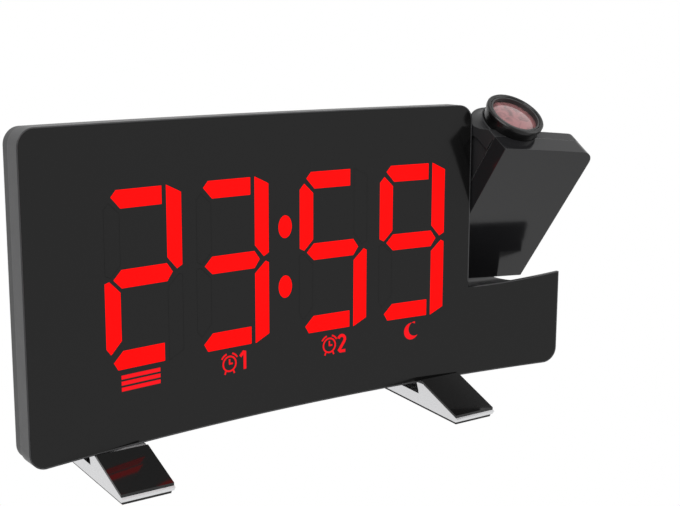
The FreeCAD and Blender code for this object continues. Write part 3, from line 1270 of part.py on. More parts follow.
def foot(x):
    """Wedge below the face, with a strut back to a block under the base."""
    slope = foot_slope()
    toe = -FOOT_TOE
    front = TOE_HEIGHT - PLATE_THICKNESS - SEAT_GAP
    meet = toe + 0.8
    while front + slope * (meet - toe - 0.8) < under_z(meet):
        meet += 0.05
    points = [
        (toe + 0.7, PAD_THICKNESS), (toe, 2.05), (toe + 0.6, front), (toe + 0.8, front),
        (meet, under_z(meet)), (7.6, under_z(7.6)), (NOTCH_Y + 0.3, FOOT_ARM_TOP + 1.2),
        (NOTCH_Y, FOOT_ARM_TOP), (FOOT_BLOCK_Y, FOOT_ARM_TOP), (FOOT_BLOCK_Y + 0.6, under_z(FOOT_BLOCK_Y + 0.6)),
        (FOOT_BACK, under_z(FOOT_BACK)), (FOOT_BACK, PAD_THICKNESS),
    ]
    body = extruded(points, x, FOOT_WIDTH)
    holes = rod(SCREW_RADIUS + 0.15, 20, (x, FOOT_SCREW_Y, -10), (0, 0, 1))
    holes = holes.fuse(rod(SCREW_HEAD_RADIUS + 0.2, 10, (x, FOOT_SCREW_Y, -FOOT_SCREW_SEAT - 10), (0, 0, 1)))
    return body.cut(leaned(holes))


def foot_plate(x):
    """Gloss plate on the slope of the foot."""
    slope = foot_slope()
    toe = -FOOT_TOE + 0.8
    end = plate_end(x)
    rise = slope * (end - toe)
    low = TOE_HEIGHT - PLATE_THICKNESS
    return extruded([(toe, low), (toe, TOE_HEIGHT), (end, TOE_HEIGHT + rise), (end, low + rise)],
                    x, FOOT_WIDTH)


def foot_pad(x):
    """Soft sole of the foot."""
    toe = -FOOT_TOE + 0.9
    return extruded([(toe, PAD_THICKNESS), (toe + 0.3, 0), (FOOT_BACK - 0.6, 0), (FOOT_BACK - 0.3, PAD_THICKNESS)],
                    x, PAD_WIDTH)


def leaned(shape):
    """Lean a body shape back and lift it over the table."""
    result = shape.copy()
    result.rotate(Vector(0, 0, 0), Vector(1, 0, 0), -LEAN)
    result.translate(Vector(0, 0, UNDERSIDE_HEIGHT))
    return result


def tilted(shape):
    """Turn an arm shape forward about the hinge."""
    result = shape.copy()
    result.rotate(Vector(0, PIVOT_Y, PIVOT_Z), Vector(1, 0, 0), ARM_TILT)
    return result


def group(shapes):
    """Several alike solids as one piece of the list."""
    return Part.makeCompound(list(shapes))


def body_parts():
    """Every piece that stays with the body, drawn upright."""
    back = (0, -1, 0)
    parts = {"front_frame": front_frame(), "front_panel": front_panel()}
    unlit = []
    for name in DIGIT_PLACES:
        parts["digit_" + name] = light_guides(digit_prisms(name, 0, True))
        unlit += digit_prisms(name, 0, False)
    parts["unlit_segments"] = light_guides(unlit)
    parts["colon_dots"] = light_guides(colon_prisms(0))
    parts["display_reflector"] = display_reflector()
    parts["display_board"] = display_board()
    y = REFLECTOR_BACK + BOARD_THICKNESS + SEAT_GAP
    parts["display_screws"] = group(small_screw((COLON_X, y, z), back, 3.2) for z in display_screws())
    parts["rear_cover"] = rear_cover()
    parts["cover_screws"] = group(large_screw((x, SCREW_SEAT + SEAT_GAP, z), back, 10) for x, z in post_places())
    parts["main_board"] = main_board()
    parts["key_board"] = key_board()
    screws = [small_screw((x, y - BOARD_THICKNESS - SEAT_GAP, z), (0, 1, 0), 4.6) for x, y, z in inner_posts()]
    parts["board_screws"] = group(screws)
    parts["tact_switches"] = tact_switches()
    for name, x in zip(KEY_NAMES, key_places()):
        parts[name] = row_key(x)
    parts["snooze_button"] = snooze_button()
    parts["speaker"] = speaker()
    parts["power_socket"] = power_socket()
    parts["usb_port"] = usb_port()
    parts["antenna_grommet"] = antenna_grommet()
    parts["battery_door"] = battery_door()
    seat = (DOOR_X + DOOR_POST_X, HUMP_BACK - 0.7 + SEAT_GAP, DOOR_Z + DOOR_POST_Z)
    parts["battery_door_screw"] = small_screw(seat, back, 4.0)
    parts["coin_cell"] = coin_cell()
    parts["battery_contact"] = battery_contact()
    parts["hinge_bush"] = hinge_bush()
    parts["friction_washer"] = friction_washer()
    parts["foot_screws"] = group(large_screw((x, FOOT_SCREW_Y, -FOOT_SCREW_SEAT - SEAT_GAP), (0, 0, 1), 8.5)
                                 for x in (FOOT_LEFT_X, FOOT_RIGHT_X))
    return parts


def arm_parts():
    """Every piece that turns with the arm, drawn closed."""
    back = (0, -1, 0)
    parts = {"arm_front_cover": arm_front_cover(), "arm_rear_cover": arm_rear_cover()}
    screws = [large_screw((x, ARM_SCREW_SEAT + SEAT_GAP, z), back, 9.5) for x, z in arm_screw_places()]
    parts["arm_screws"] = group(screws)
    parts["hinge_shaft"] = hinge_shaft()
    parts["shaft_clip"] = shaft_clip()
    parts["projector_board"] = projector_board()
    parts["projector_led"] = projector_led()
    parts["optics_tube"] = optics_tube()
    parts["condenser_lens"] = condenser_lens()
    parts["lcd_slide"] = lcd_slide()
    parts["arm_key_board"] = arm_key_board()
    parts["arm_board_screws"] = group(small_screw((ARM_KEY_X, ARM_KEY_BOARD_Y - SEAT_GAP, z), (0, 1, 0), 4.6)
                                      for z in arm_board_posts())
    parts["arm_switch"] = arm_switch()
    parts["projection_button"] = projection_button()
    parts["focus_ring"] = focus_ring()
    parts["lens_cell"] = lens_cell()
    parts["projection_lens"] = projection_lens()
    return parts


def foot_parts():
    """Pieces of the two feet, as they stand."""
    parts = {}
    for name, x in (("left", FOOT_LEFT_X), ("right", FOOT_RIGHT_X)):
        parts["foot_" + name] = foot(x)
        parts["foot_plate_" + name] = foot_plate(x)
        parts["foot_pad_" + name] = foot_pad(x)
    return parts


def main():
    os.makedirs("parts", exist_ok=True)
    parts = {name: leaned(shape) for name, shape in body_parts().items()}
    parts.update({name: leaned(tilted(shape)) for name, shape in arm_parts().items()})
    parts.update(foot_parts())
    whole = Part.makeCompound(list(parts.values())).optimalBoundingBox(False)
    shift = -(whole.YMin + whole.YMax) / 2
    for name, shape in parts.items():
        shape.translate(Vector(0, shift, 0))
        shape.exportStep("parts/" + name + ".step")
        print(name, round(shape.Volume, 1), "solids", len(shape.Solids), shape.isValid())
    print("origin shift", round(shift, 4), "box", whole)


if __name__ == "__main__":
    main()
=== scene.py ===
"""Looks of the projection alarm clock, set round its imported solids.

Every solid gets a finish of its own, and a few pieces that need smoother curves or print are
worked out here as surfaces. Lengths are in metres. Body pieces are placed in the upright frame
of the face (x along the width, depth behind the ends of the face, height from its lower edge).
"""
import json
import math
import bpy
import numpy as np
from mathutils import Matrix, Vector


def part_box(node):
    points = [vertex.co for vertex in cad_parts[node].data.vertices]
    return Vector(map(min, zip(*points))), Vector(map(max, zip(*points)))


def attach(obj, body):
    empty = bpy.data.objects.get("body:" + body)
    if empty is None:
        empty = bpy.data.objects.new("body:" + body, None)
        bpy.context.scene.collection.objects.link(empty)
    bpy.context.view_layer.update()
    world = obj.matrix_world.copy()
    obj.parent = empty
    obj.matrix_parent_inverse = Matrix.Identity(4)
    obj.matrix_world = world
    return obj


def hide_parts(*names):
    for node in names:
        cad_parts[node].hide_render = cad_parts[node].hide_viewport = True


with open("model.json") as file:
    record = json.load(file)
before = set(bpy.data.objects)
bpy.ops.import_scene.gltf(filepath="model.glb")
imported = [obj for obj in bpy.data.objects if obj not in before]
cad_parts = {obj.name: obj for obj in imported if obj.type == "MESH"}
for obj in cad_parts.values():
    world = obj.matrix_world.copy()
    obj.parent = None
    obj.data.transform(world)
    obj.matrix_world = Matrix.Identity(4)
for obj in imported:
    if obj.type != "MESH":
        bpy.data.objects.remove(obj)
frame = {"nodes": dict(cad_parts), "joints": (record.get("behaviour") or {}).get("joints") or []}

bl_info = {
    "name": "Projection alarm clock",
    "version": (1, 0, 0),
    "blender": (4, 5, 0),
    "location": "View3D > Sidebar > Clock",
    "description": "Finishes, print and studio for a projection alarm clock",
    "category": "Object",
}

MM = 0.001
LEAN = math.radians(4.3)
TILT = math.radians(35.3)
UNDERSIDE = 8.5 * MM
FACE_RADIUS = 532.0 * MM
PIVOT = (18.0 * MM, 58.9 * MM)
LENS_AXIS = (70.7 * MM, 17.4 * MM)
LENS_SEAT = 89.05 * MM
LENS_EDGE = 91.25 * MM
EDGE = 0.3 * MM
WIDE_EDGE = 0.4 * MM
WHITE = (1.0, 1.0, 1.0, 1.0)
# Signs on the face: x and height in millimetres, angles in degrees
BAR_X = (-66.5, -60.2, -54.0)
BAR_HEIGHTS = (19.9, 18.2, 16.5)
ALARM_CENTRES = ((-30.65, 17.3), (5.35, 17.2))
ALARM_RADIUS = 2.2
BELL_RADIUS = 3.15
MOON_CENTRE, MOON_RADIUS = (36.6, 17.45), 2.75
BITE_CENTRE, BITE_RADIUS = (37.9, 18.15), 2.35
ONE = [[-26.9, 18.9], [-25.6, 20.2], [-25.3, 20.2], [-25.3, 17.5], [-25.3, 14.9]]
TWO_ARC = ((9.95, 18.5), 1.2, 165, -35, 17)
TWO_FOOT = [[8.9, 14.9], [9.3, 14.75], [11.35, 14.75]]
NODES = frame["nodes"]
JOINTS = {joint["name"]: joint for joint in frame["joints"]}
HALF_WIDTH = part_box("front_frame")[1].x
CENTRE_Y = -math.sqrt(FACE_RADIUS ** 2 - HALF_WIDTH ** 2)
SHIFT = JOINTS["arm_tilt"]["pos_m"][1] - PIVOT[0] * math.cos(LEAN) - PIVOT[1] * math.sin(LEAN)


# Places

def turn(y, z, angle):
    """y and z turned about the x axis by an angle, as whole arrays."""
    return y * np.cos(angle) - z * np.sin(angle), y * np.sin(angle) + z * np.cos(angle)


def stand(x, y, z):
    """Point of the upright frame where it stands: leaned back, lifted and shifted."""
    y, z = turn(np.asarray(y, float), np.asarray(z, float), -LEAN)
    return np.stack(np.broadcast_arrays(x, y + SHIFT, z + UNDERSIDE), axis=-1)


def stand_arm(x, y, z):
    """Point of the closed arm where it stands: tilted about the hinge, then leaned."""
    y, z = turn(np.asarray(y, float) - PIVOT[0], np.asarray(z, float) - PIVOT[1], TILT)
    return stand(x, y + PIVOT[0], z + PIVOT[1])


def face_depth(x):
    """Depth of the hollow face at x: a circle of FACE_RADIUS through both ends of the face."""
    return CENTRE_Y + np.sqrt(FACE_RADIUS ** 2 - np.square(x))


def on_face(x, height, depth):
    """Point at a depth behind the face."""
    return stand(x, face_depth(x) + depth, height)


# Meshes from arrays

def grid_mesh(name, points):
    """Object whose faces join a grid of points, rows along u and columns along v."""
    rows, columns = points.shape[:2]
    u, v = np.meshgrid(np.arange(rows - 1), np.arange(columns - 1), indexing="ij")
    corner = u * columns + v
    quads = np.stack([corner, corner + columns, corner + columns + 1, corner + 1], axis=-1)
    return mesh_object(name, points.reshape(-1, 3), quads.reshape(-1, 4).tolist())


def mesh_object(name, points, faces, smooth=True):
    """Object made from an array of points and a list of faces."""
    mesh = bpy.data.meshes.new(name)
    mesh.from_pydata(points.tolist(), [], faces)
    mesh.polygons.foreach_set("use_smooth", np.full(len(mesh.polygons), smooth))
    mesh.update()
    piece = bpy.data.objects.new(name, mesh)
    bpy.context.scene.collection.objects.link(piece)
    return piece


def strip_solid(left, right, place, raised=0.06 * MM):
    """Points and faces of a flat closed band between two lines of points.

    Each pair of points gives four corners, two raised in front of the surface and two as far behind it.
    """
    count = len(left)
    sides = [place(left, raised), place(left, -raised), place(right, -raised), place(right, raised)]
    points = np.stack(sides, axis=1).reshape(-1, 3)
    u = np.arange(count - 1)[:, None] * 4
    v = np.arange(4)[None, :]
    quads = np.stack([u + v, u + (v + 1) % 4, u + 4 + (v + 1) % 4, u + 4 + v], axis=-1).reshape(-1, 4)
    last = 4 * (count - 1)
    caps = np.array([[3, 2, 1, 0], [last, last + 1, last + 2, last + 3]])
    return points, np.concatenate([quads, caps])


def line_strip(path, width):
    """Left and right lines of a band: the path plus and minus half the width along its normal."""
    path = np.asarray(path, float)
    along = np.gradient(path, axis=0)
    along /= np.linalg.norm(along, axis=1, keepdims=True)
    side = np.stack([-along[:, 1], along[:, 0]], axis=1) * width / 2
    return path + side, path - side


def arc(centre, radius, start, end, count=25):
    """Points on a circle, from one angle to another in degrees."""
    angle = np.radians(np.linspace(start, end, count))
    return np.stack([centre[0] + radius * np.cos(angle), centre[1] + radius * np.sin(angle)], axis=1)


def joined(name, solids):
    """One object from several lists of points and faces."""
    starts = np.cumsum([0] + [len(points) for points, _ in solids[:-1]])
    points = np.concatenate([points for points, _ in solids])
    faces = np.concatenate([quads + start for start, (_, quads) in zip(starts, solids)])
    return mesh_object(name, points, faces.tolist(), smooth=False)


def turned_solid(name, profile, place, count=128):
    """Closed solid of a profile turned about the axis of the lens: x = r cos a, y = r sin a.

    The profile runs from the top of the axis outwards and down to the bottom of the axis.
    """
    angle = np.linspace(0.0, 2 * math.pi, count, endpoint=False)[None, :]
    inner = profile[1:-1]
    r, z = inner[:, :1], inner[:, 1:]
    rings = place(LENS_AXIS[0] + r * np.cos(angle), LENS_AXIS[1] + r * np.sin(angle), z + 0 * angle)
    poles = place(np.full(2, LENS_AXIS[0]), np.full(2, LENS_AXIS[1]), profile[[0, -1], 1])
    rows = len(inner)
    u, v = np.meshgrid(np.arange(rows - 1), np.arange(count), indexing="ij")
    n = (v + 1) % count
    walls = np.stack([u * count + v, (u + 1) * count + v, (u + 1) * count + n, u * count + n], axis=-1)
    a = np.arange(count)
    b = (a + 1) % count
    low = (rows - 1) * count
    top = np.stack([np.full(count, rows * count), a, b], axis=-1)
    bottom = np.stack([np.full(count, rows * count + 1), low + b, low + a], axis=-1)
    faces = walls.reshape(-1, 4).tolist() + top.tolist() + bottom.tolist()
    return mesh_object(name, np.concatenate([rings.reshape(-1, 3), poles]), faces)


# Materials

def material(name):
    """Material with its nodes on, and its main shader."""
    made = bpy.data.materials.get(name) or bpy.data.materials.new(name)
    made.use_nodes = True
    return made, made.node_tree, made.node_tree.nodes["Principled BSDF"]


def node(tree, kind, **values):
    """Node with its properties and sockets set by name."""
    made = tree.nodes.new(kind)
    for key, value in values.items():
        if key in made.inputs:
            made.inputs[key].default_value = value
        else:
            setattr(made, key, value)
    return made


def grain(tree, shader, scale, strength, spread, roughness, edge=0.0):
    """Fine moulded grain: noise drives a bump and a wider noise varies the roughness.

    Where an edge radius is given, edges are shaded as if rounded.
    """
    place = node(tree, "ShaderNodeTexCoord")
    fine = node(tree, "ShaderNodeTexNoise", Scale=scale, Detail=3.0, Roughness=0.6)
    wide = node(tree, "ShaderNodeTexNoise", Scale=scale / 40, Detail=2.0)
    bump = node(tree, "ShaderNodeBump", Strength=strength, Distance=0.0001)
    vary = node(tree, "ShaderNodeMapRange")
    vary.inputs["To Min"].default_value = roughness - spread
    vary.inputs["To Max"].default_value = roughness + spread
    tree.links.new(place.outputs["Object"], fine.inputs["Vector"])
    tree.links.new(place.outputs["Object"], wide.inputs["Vector"])
    tree.links.new(fine.outputs["Fac"], bump.inputs["Height"])
    tree.links.new(bump.outputs["Normal"], shader.inputs["Normal"])
    if edge:
        rounding = node(tree, "ShaderNodeBevel", Radius=edge, samples=6)
        tree.links.new(rounding.outputs["Normal"], bump.inputs["Normal"])
    tree.links.new(wide.outputs["Fac"], vary.inputs["Value"])
    tree.links.new(vary.outputs["Result"], shader.inputs["Roughness"])


def plastic(name, colour, roughness, specular=0.5, scale=9000.0, strength=0.15, spread=0.04,
            edge=0.0):
    """Moulded plastic with a fine grain."""
    made, tree, shader = material(name)
    shader.inputs["Base Color"].default_value = (*colour, 1.0)
    shader.inputs["Specular IOR Level"].default_value = specular
    grain(tree, shader, scale, strength, spread, roughness, edge)
    return made


def metal(name, colour, roughness, stretch):
    """Metal with fine lines, from a noise squeezed along one axis."""
    made, tree, shader = material(name)
    shader.inputs["Base Color"].default_value = (*colour, 1.0)
    shader.inputs["Metallic"].default_value = 1.0
    place = node(tree, "ShaderNodeTexCoord")
    squeeze = node(tree, "ShaderNodeMapping", Scale=stretch)
    lines = node(tree, "ShaderNodeTexNoise", Scale=4000.0, Detail=4.0)
    vary = node(tree, "ShaderNodeMapRange")
    vary.inputs["To Min"].default_value = roughness * 0.75
    vary.inputs["To Max"].default_value = roughness * 1.3
    bump = node(tree, "ShaderNodeBump", Strength=0.12, Distance=0.00005)
    tree.links.new(place.outputs["Object"], squeeze.inputs["Vector"])
    tree.links.new(squeeze.outputs["Vector"], lines.inputs["Vector"])
    tree.links.new(lines.outputs["Fac"], vary.inputs["Value"])
    tree.links.new(vary.outputs["Result"], shader.inputs["Roughness"])
    tree.links.new(lines.outputs["Fac"], bump.inputs["Height"])
    tree.links.new(bump.outputs["Normal"], shader.inputs["Normal"])
    return made


def lit(name, colour, strength):
    """Light guide: an even glow with a faint mottle."""
    made, tree, shader = material(name)
    shader.inputs["Base Color"].default_value = (0.3, 0.0, 0.0, 1.0)
    shader.inputs["Specular IOR Level"].default_value = 0.1
    shader.inputs["Roughness"].default_value = 0.6
    place = node(tree, "ShaderNodeTexCoord")
    cloud = node(tree, "ShaderNodeTexNoise", Scale=250.0, Detail=1.0)
    vary = node(tree, "ShaderNodeMapRange")
    vary.inputs["To Min"].default_value = strength * 0.97
    vary.inputs["To Max"].default_value = strength * 1.03
    shader.inputs["Emission Color"].default_value = (*colour, 1.0)
    tree.links.new(place.outputs["Object"], cloud.inputs["Vector"])
    tree.links.new(cloud.outputs["Fac"], vary.inputs["Value"])
    tree.links.new(vary.outputs["Result"], shader.inputs["Emission Strength"])
    return made


def glass(name, colour, roughness=0.02):
    """Clear coated glass."""
    made, tree, shader = material(name)
    shader.inputs["Base Color"].default_value = (*colour, 1.0)
    shader.inputs["Transmission Weight"].default_value = 1.0
    shader.inputs["IOR"].default_value = 1.49
    grain(tree, shader, 900.0, 0.01, roughness * 0.4, roughness)
    return made


def paint(names, finish):
    """Give one finish to several solids."""
    for name in names:
        slots = NODES[name].data.materials
        slots.clear()
        slots.append(finish)


class ClockSettings(bpy.types.PropertyGroup):
    """Colours and sizes that a user would change."""
    face_colour: bpy.props.FloatVectorProperty(
        name="Face", description="Colour of the smoked panel", subtype="COLOR",
        default=(0.006, 0.006, 0.006), min=0.0, max=1.0)
    lit_colour: bpy.props.FloatVectorProperty(
        name="Lit segments", description="Colour of the display", subtype="COLOR",
        default=(1.0, 0.0, 0.0), min=0.0, max=1.0)
    lit_strength: bpy.props.FloatProperty(
        name="Brightness", description="Strength of the lit segments", default=1.0, min=0.0)
    housing_colour: bpy.props.FloatVectorProperty(
        name="Housing", description="Colour of frame and covers", subtype="COLOR",
        default=(0.013, 0.013, 0.014), min=0.0, max=1.0)


class MarkSettings(bpy.types.PropertyGroup):
    """Small lit signs below the digits."""
    line: bpy.props.FloatProperty(
        name="Line", description="Width of the thin lines", subtype="DISTANCE",
        default=0.5 * MM, min=0.0001)
    stroke: bpy.props.FloatProperty(
        name="Stroke", description="Width of the numerals", subtype="DISTANCE",
        default=0.95 * MM, min=0.0001)
    bar: bpy.props.FloatProperty(
        name="Bar", description="Height of the level bars", subtype="DISTANCE",
        default=1.1 * MM, min=0.0001)
    colour: bpy.props.FloatVectorProperty(
        name="Colour", description="Colour of the signs", subtype="COLOR", default=(0.72, 0.006, 0.012),
        min=0.0, max=1.0)


def mark_place(points, out):
    """Points of the face plane, x and height in millimetres, at a distance in front of the panel."""
    return on_face(points[:, 0] * MM, points[:, 1] * MM, -out)


def alarm_sign(centre, line):
    """Alarm clock in thin lines: a ring, two bells, two feet and two hands."""
    x, z = centre
    paths = [arc(centre, ALARM_RADIUS, 0, 360, 49)]
    paths += [arc(centre, BELL_RADIUS, start, start + 40, 13) for start in (32, 108)]
    paths += [np.array([[x + 2.2 * c, z - 2.1], [x + 2.75 * c, z - 3.0]]) for c in (-0.6, 0.6)]
    paths += [np.array([[x, z + 1.4], [x, z]]), np.array([[x - 0.2, z], [x + 1.1, z]])]
    return [strip_solid(*line_strip(path, line), mark_place) for path in paths]


class CLOCK_OT_marks(bpy.types.Operator):
    """Light the small signs below the digits"""
    bl_idname = "clock.marks"
    bl_label = "Signs"

    def execute(self, context):
        s = context.scene.clock_marks
        line, stroke, bar = s.line / MM, s.stroke / MM, s.bar / MM
        solids = [strip_solid(*line_strip([[x, z] for x in BAR_X], bar), mark_place) for z in BAR_HEIGHTS]
        for centre in ALARM_CENTRES:
            solids += alarm_sign(centre, line)
        two = np.concatenate([arc(*TWO_ARC), TWO_FOOT])
        solids += [strip_solid(*line_strip(path, stroke), mark_place) for path in (ONE, two)]
        outer = arc(MOON_CENTRE, MOON_RADIUS, 60, 330, 49)
        angle = np.degrees(np.arctan2(*(outer[[0, -1]] - BITE_CENTRE).T[::-1])) % 360
        inner = arc(BITE_CENTRE, BITE_RADIUS, angle[0], angle[1], 49)
        solids.append(strip_solid(outer, inner, mark_place))
        signs = joined("indicator_marks", solids)
        signs.data.materials.append(lit("dim red", s.colour, 1.0))
        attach(signs, "clock")
        return {"FINISHED"}


class OpticsSettings(bpy.types.PropertyGroup):
    """Front lens of the projector."""
    radius: bpy.props.FloatProperty(
        name="Radius", description="Radius of the front lens", subtype="DISTANCE",
        default=7.82 * MM, min=0.001)
    dome: bpy.props.FloatProperty(
        name="Dome", description="Height of the dome over its edge", subtype="DISTANCE", default=1.1 * MM,
        min=0.0001)
    tint: bpy.props.FloatVectorProperty(
        name="Tint", description="Colour of the coating", subtype="COLOR", default=(0.36, 0.13, 0.14),
        min=0.0, max=1.0)


def coated_lens_painted_reflections(tint):
    """Glass with a rosy coating and painted reflections: a noise paints dark and light streaks into its
    colour in place of reflections, and a painted sheen makes it paler where it is seen at a slant.
    """
    made, tree, shader = material("rosy lens with painted reflections")
    place = node(tree, "ShaderNodeTexCoord")
    # Painted reflection: the noise streaks run from a dark to a light shade of the tint in the base colour,
    # standing in for reflections inside the lens.
    painted_reflection_streaks = node(tree, "ShaderNodeTexNoise", Scale=260.0, Detail=3.0, Distortion=1.5)
    ramp = node(tree, "ShaderNodeValToRGB")
    stops = ramp.color_ramp.elements
    stops[0].position, stops[0].color = 0.36, (tint[0] * 0.22, tint[1] * 0.22, tint[2] * 0.24, 1.0)
    stops[1].position, stops[1].color = 0.58, (*tint, 1.0)
    # Painted sheen: the colour is mixed towards a pale pink where the lens is seen at a slant.
    facing = node(tree, "ShaderNodeLayerWeight", Blend=0.35)
    pale = node(tree, "ShaderNodeMix", data_type="RGBA")
    rim = node(tree, "ShaderNodeMath", operation="MULTIPLY")
    rim.inputs[1].default_value = 0.6
    tree.links.new(place.outputs["Object"], painted_reflection_streaks.inputs["Vector"])
    tree.links.new(painted_reflection_streaks.outputs["Fac"], ramp.inputs["Fac"])
    tree.links.new(facing.outputs["Facing"], rim.inputs[0])
    tree.links.new(rim.outputs[0], pale.inputs[0])
    tree.links.new(ramp.outputs["Color"], pale.inputs[6])
    pale.inputs[7].default_value = (0.5, 0.26, 0.25, 1.0)
    tree.links.new(pale.outputs[2], shader.inputs["Base Color"])
    shader.inputs["Transmission Weight"].default_value = 0.15
    shader.inputs["Coat Weight"].default_value = 0.6
    shader.inputs["Roughness"].default_value = 0.12
    shader.inputs["IOR"].default_value = 1.52
    return made


class CLOCK_OT_optics(bpy.types.Operator):
    """Turn the front lens of the projector"""
    bl_idname = "clock.optics"
    bl_label = "Front lens"

    def execute(self, context):
        s = context.scene.clock_optics
        r = np.sin(np.linspace(0.0, math.pi / 2, 25)) * s.radius
        dome = np.stack([r, LENS_EDGE + s.dome * (1 - (r / s.radius) ** 2)], axis=1)
        back = np.array([[s.radius, LENS_SEAT], [s.radius * 0.5, LENS_SEAT], [0.0, LENS_SEAT]])
        lens = turned_solid("front_lens", np.concatenate([dome, back]), stand_arm)
        lens.data.materials.append(coated_lens_painted_reflections(s.tint))
        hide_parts("projection_lens")
        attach(lens, "lens")
        return {"FINISHED"}


class CLOCK_OT_finishes(bpy.types.Operator):
    """Give every solid its finish"""
    bl_idname = "clock.finishes"
    bl_label = "Finishes"

    def execute(self, context):
        s = context.scene.clock
        digits = [n for n in NODES if n.startswith("digit_")]
        keys = [n for n in NODES if n.endswith("_button")]
        boards = [n for n in NODES if n.endswith("_board")]
        screws = [n for n in NODES if n.endswith("_screws") or n.endswith("_screw")]
        paint(["front_panel"],
              plastic("smoked panel", s.face_colour, 0.12, 0.22, strength=0.01, spread=0.01))
        frame_colour = [c * 1.5 for c in s.housing_colour]
        paint(["front_frame"], plastic("satin frame", frame_colour, 0.42, edge=WIDE_EDGE))
        paint(["rear_cover", "arm_rear_cover", "battery_door"],
              plastic("grained housing", s.housing_colour, 0.5, edge=WIDE_EDGE))
        paint(["arm_front_cover"],
              plastic("gloss arm", s.housing_colour, 0.12, 0.3, strength=0.01, edge=EDGE))
        paint(digits + ["colon_dots"], lit("lit red", s.lit_colour, s.lit_strength))
        paint(["unlit_segments"],
              plastic("unlit segment", s.face_colour, 0.12, 0.22, strength=0.01, spread=0.01))
        paint(["display_reflector"], plastic("white reflector", (0.8, 0.8, 0.78), 0.5))
        paint(boards, plastic("board varnish", (0.02, 0.11, 0.04), 0.3))
        paint(screws + ["usb_port", "coin_cell", "friction_washer", "shaft_clip", "hinge_shaft"],
              metal("plated steel", (0.62, 0.62, 0.64), 0.3, (1.0, 6.0, 1.0)))
        paint(["battery_contact"], metal("spring brass", (0.75, 0.55, 0.22), 0.3, (1.0, 6.0, 1.0)))
        paint(keys, plastic("key plastic", (0.03, 0.03, 0.032), 0.4))
        paint(["speaker", "tact_switches", "arm_switch", "power_socket", "hinge_bush", "optics_tube",
               "lens_cell"], plastic("dark moulding", (0.02, 0.02, 0.02), 0.45))
        paint(["focus_ring"], plastic("ring plastic", (0.003, 0.003, 0.003), 0.2, 0.3, edge=EDGE))
        paint(["antenna_grommet", "foot_pad_left", "foot_pad_right"],
              plastic("soft rubber", (0.02, 0.02, 0.02), 0.75, 0.3, scale=5000.0, strength=0.3))
        paint(["foot_left", "foot_right"],
              metal("drawn aluminium", (0.66, 0.66, 0.67), 0.28, (1.0, 1.0, 8.0)))
        paint(["foot_plate_left", "foot_plate_right"],
              plastic("gloss plate", (0.006, 0.006, 0.006), 0.06, 0.4, strength=0.005, spread=0.01))
        paint(["projection_lens", "condenser_lens", "lcd_slide"], glass("coated glass", (0.95, 0.82, 0.86)))
        paint(["projector_led"], plastic("lamp resin", (0.85, 0.85, 0.75), 0.2))
        return {"FINISHED"}


def flat_sheet(name, size, z):
    """Level square at a height, with side lengths of twice the size."""
    u = np.linspace(-size, size, 5)
    x, y = np.meshgrid(u, u, indexing="ij")
    return grid_mesh(name, np.stack([x, y, np.full_like(x, z)], axis=-1))


def studio_floor_material():
    """Pale floor that throws light back, and is plain white where it is seen."""
    made, tree, shader = material("pale floor")
    shader.inputs["Base Color"].default_value = (0.5, 0.5, 0.5, 1.0)
    shader.inputs["Roughness"].default_value = 0.9
    shader.inputs["Specular IOR Level"].default_value = 0.0
    path = node(tree, "ShaderNodeLightPath")
    glow = node(tree, "ShaderNodeEmission", Strength=1.0)
    mix = node(tree, "ShaderNodeMixShader")
    seen = node(tree, "ShaderNodeMath", operation="MAXIMUM")
    tree.links.new(path.outputs["Is Camera Ray"], seen.inputs[0])
    tree.links.new(path.outputs["Is Glossy Ray"], seen.inputs[1])
    tree.links.new(seen.outputs[0], mix.inputs["Fac"])
    tree.links.new(shader.outputs[0], mix.inputs[1])
    tree.links.new(glow.outputs[0], mix.inputs[2])
    tree.links.new(mix.outputs[0], tree.nodes["Material Output"].inputs["Surface"])
    return made


def white_world(context, strength):
    """World that lights softly, and is plain white where it is seen."""
    world = context.scene.world or bpy.data.worlds.new("studio")
    context.scene.world = world
    world.use_nodes = True
    tree = world.node_tree
    soft = tree.nodes["Background"]
    soft.inputs["Color"].default_value = WHITE
    soft.inputs["Strength"].default_value = strength
    white = node(tree, "ShaderNodeBackground", Strength=1.0)
    white.inputs["Color"].default_value = WHITE
    path = node(tree, "ShaderNodeLightPath")
    first = node(tree, "ShaderNodeMath", operation="MAXIMUM")
    second = node(tree, "ShaderNodeMath", operation="MAXIMUM")
    mix = node(tree, "ShaderNodeMixShader")
    tree.links.new(path.outputs["Is Camera Ray"], first.inputs[0])
    tree.links.new(path.outputs["Is Glossy Ray"], first.inputs[1])
    tree.links.new(first.outputs[0], second.inputs[0])
    tree.links.new(path.outputs["Is Transmission Ray"], second.inputs[1])
    tree.links.new(second.outputs[0], mix.inputs["Fac"])
    tree.links.new(soft.outputs[0], mix.inputs[1])
    tree.links.new(white.outputs[0], mix.inputs[2])
    tree.links.new(mix.outputs[0], tree.nodes["World Output"].inputs["Surface"])


def soft_lamp(name, place, target, size, power):
    """Square area lamp that faces a point."""
    lamp = bpy.data.lights.new(name, "AREA")
    lamp.size = size
    lamp.energy = power
    body = bpy.data.objects.new(name, lamp)
    body.location = place
    body.rotation_euler = (Vector(target) - Vector(place)).to_track_quat("-Z", "Y").to_euler()
    bpy.context.scene.collection.objects.link(body)


class StudioSettings(bpy.types.PropertyGroup):
    """Camera and light of the studio."""
    heading: bpy.props.FloatProperty(
        name="Heading", description="How far the camera looks to the right", subtype="ANGLE",
        default=math.radians(36.35))
    pitch: bpy.props.FloatProperty(
        name="Pitch", description="How far the camera looks down", subtype="ANGLE",
        default=math.radians(14.09))
    roll: bpy.props.FloatProperty(
        name="Roll", description="Turn of the camera about its line of sight", subtype="ANGLE",
        default=math.radians(2.85))
    world_strength: bpy.props.FloatProperty(
        name="World", description="Strength of the light from all round", default=0.5, min=0.0)
    lens: bpy.props.FloatProperty(
        name="Lens", description="Focal length in millimetres", default=66.05, min=10.0)


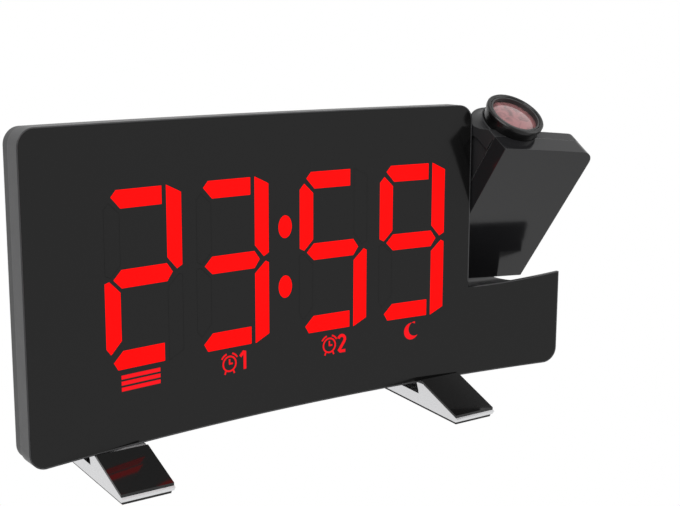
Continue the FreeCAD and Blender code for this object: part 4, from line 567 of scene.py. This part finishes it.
class CLOCK_OT_studio(bpy.types.Operator):
    """Set the floor, the light and the camera"""
    bl_idname = "clock.studio"
    bl_label = "Studio"

    def execute(self, context):
        s = context.scene.clock_studio
        floor = flat_sheet("studio_floor", 3.0, -0.00002)
        floor.data.materials.append(studio_floor_material())
        white_world(context, s.world_strength)
        target = (0.0, 0.0, 0.05)
        soft_lamp("key_lamp", (-0.7, -0.5, 0.9), target, 0.8, 9.0)
        soft_lamp("fill_lamp", (0.8, -0.7, 0.6), target, 0.8, 4.0)
        lens = bpy.data.cameras.new("photo_camera")
        lens.sensor_fit = "HORIZONTAL"
        lens.sensor_width = 36.0
        lens.lens = s.lens
        camera = bpy.data.objects.new("photo_camera", lens)
        camera.location = (-0.20919, -0.28492 + SHIFT, 0.14586)
        view = Matrix.Rotation(-s.heading, 3, "Z") @ Matrix.Rotation(math.pi / 2 - s.pitch, 3, "X")
        camera.rotation_euler = (view @ Matrix.Rotation(s.roll, 3, "Z")).to_euler()
        bpy.context.scene.collection.objects.link(camera)
        context.scene.camera = camera
        context.scene.view_settings.view_transform = "Standard"
        return {"FINISHED"}


class CLOCK_PT_panel(bpy.types.Panel):
    """List of the steps and their settings"""
    bl_idname = "CLOCK_PT_panel"
    bl_label = "Projection alarm clock"
    bl_space_type = "VIEW_3D"
    bl_region_type = "UI"
    bl_category = "Clock"

    def draw(self, context):
        scene = context.scene
        for settings in (scene.clock, scene.clock_marks, scene.clock_optics, scene.clock_studio):
            for name in settings.__annotations__:
                self.layout.prop(settings, name)
        for step in STEPS:
            self.layout.operator(step.bl_idname)


STEPS = (CLOCK_OT_finishes, CLOCK_OT_marks, CLOCK_OT_optics, CLOCK_OT_studio)
GROUPS = (ClockSettings, MarkSettings, OpticsSettings, StudioSettings)


def register():
    for made in GROUPS + STEPS + (CLOCK_PT_panel,):
        bpy.utils.register_class(made)
    bpy.types.Scene.clock = bpy.props.PointerProperty(type=ClockSettings)
    bpy.types.Scene.clock_marks = bpy.props.PointerProperty(type=MarkSettings)
    bpy.types.Scene.clock_optics = bpy.props.PointerProperty(type=OpticsSettings)
    bpy.types.Scene.clock_studio = bpy.props.PointerProperty(type=StudioSettings)


def unregister():
    del bpy.types.Scene.clock_studio
    del bpy.types.Scene.clock_optics
    del bpy.types.Scene.clock_marks
    del bpy.types.Scene.clock
    for made in reversed(GROUPS + STEPS + (CLOCK_PT_panel,)):
        bpy.utils.unregister_class(made)


def main():
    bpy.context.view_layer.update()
    register()
    for step in STEPS:
        group, call = step.bl_idname.split(".")
        getattr(getattr(bpy.ops, group), call)()


if __name__ == "__main__":
    main()
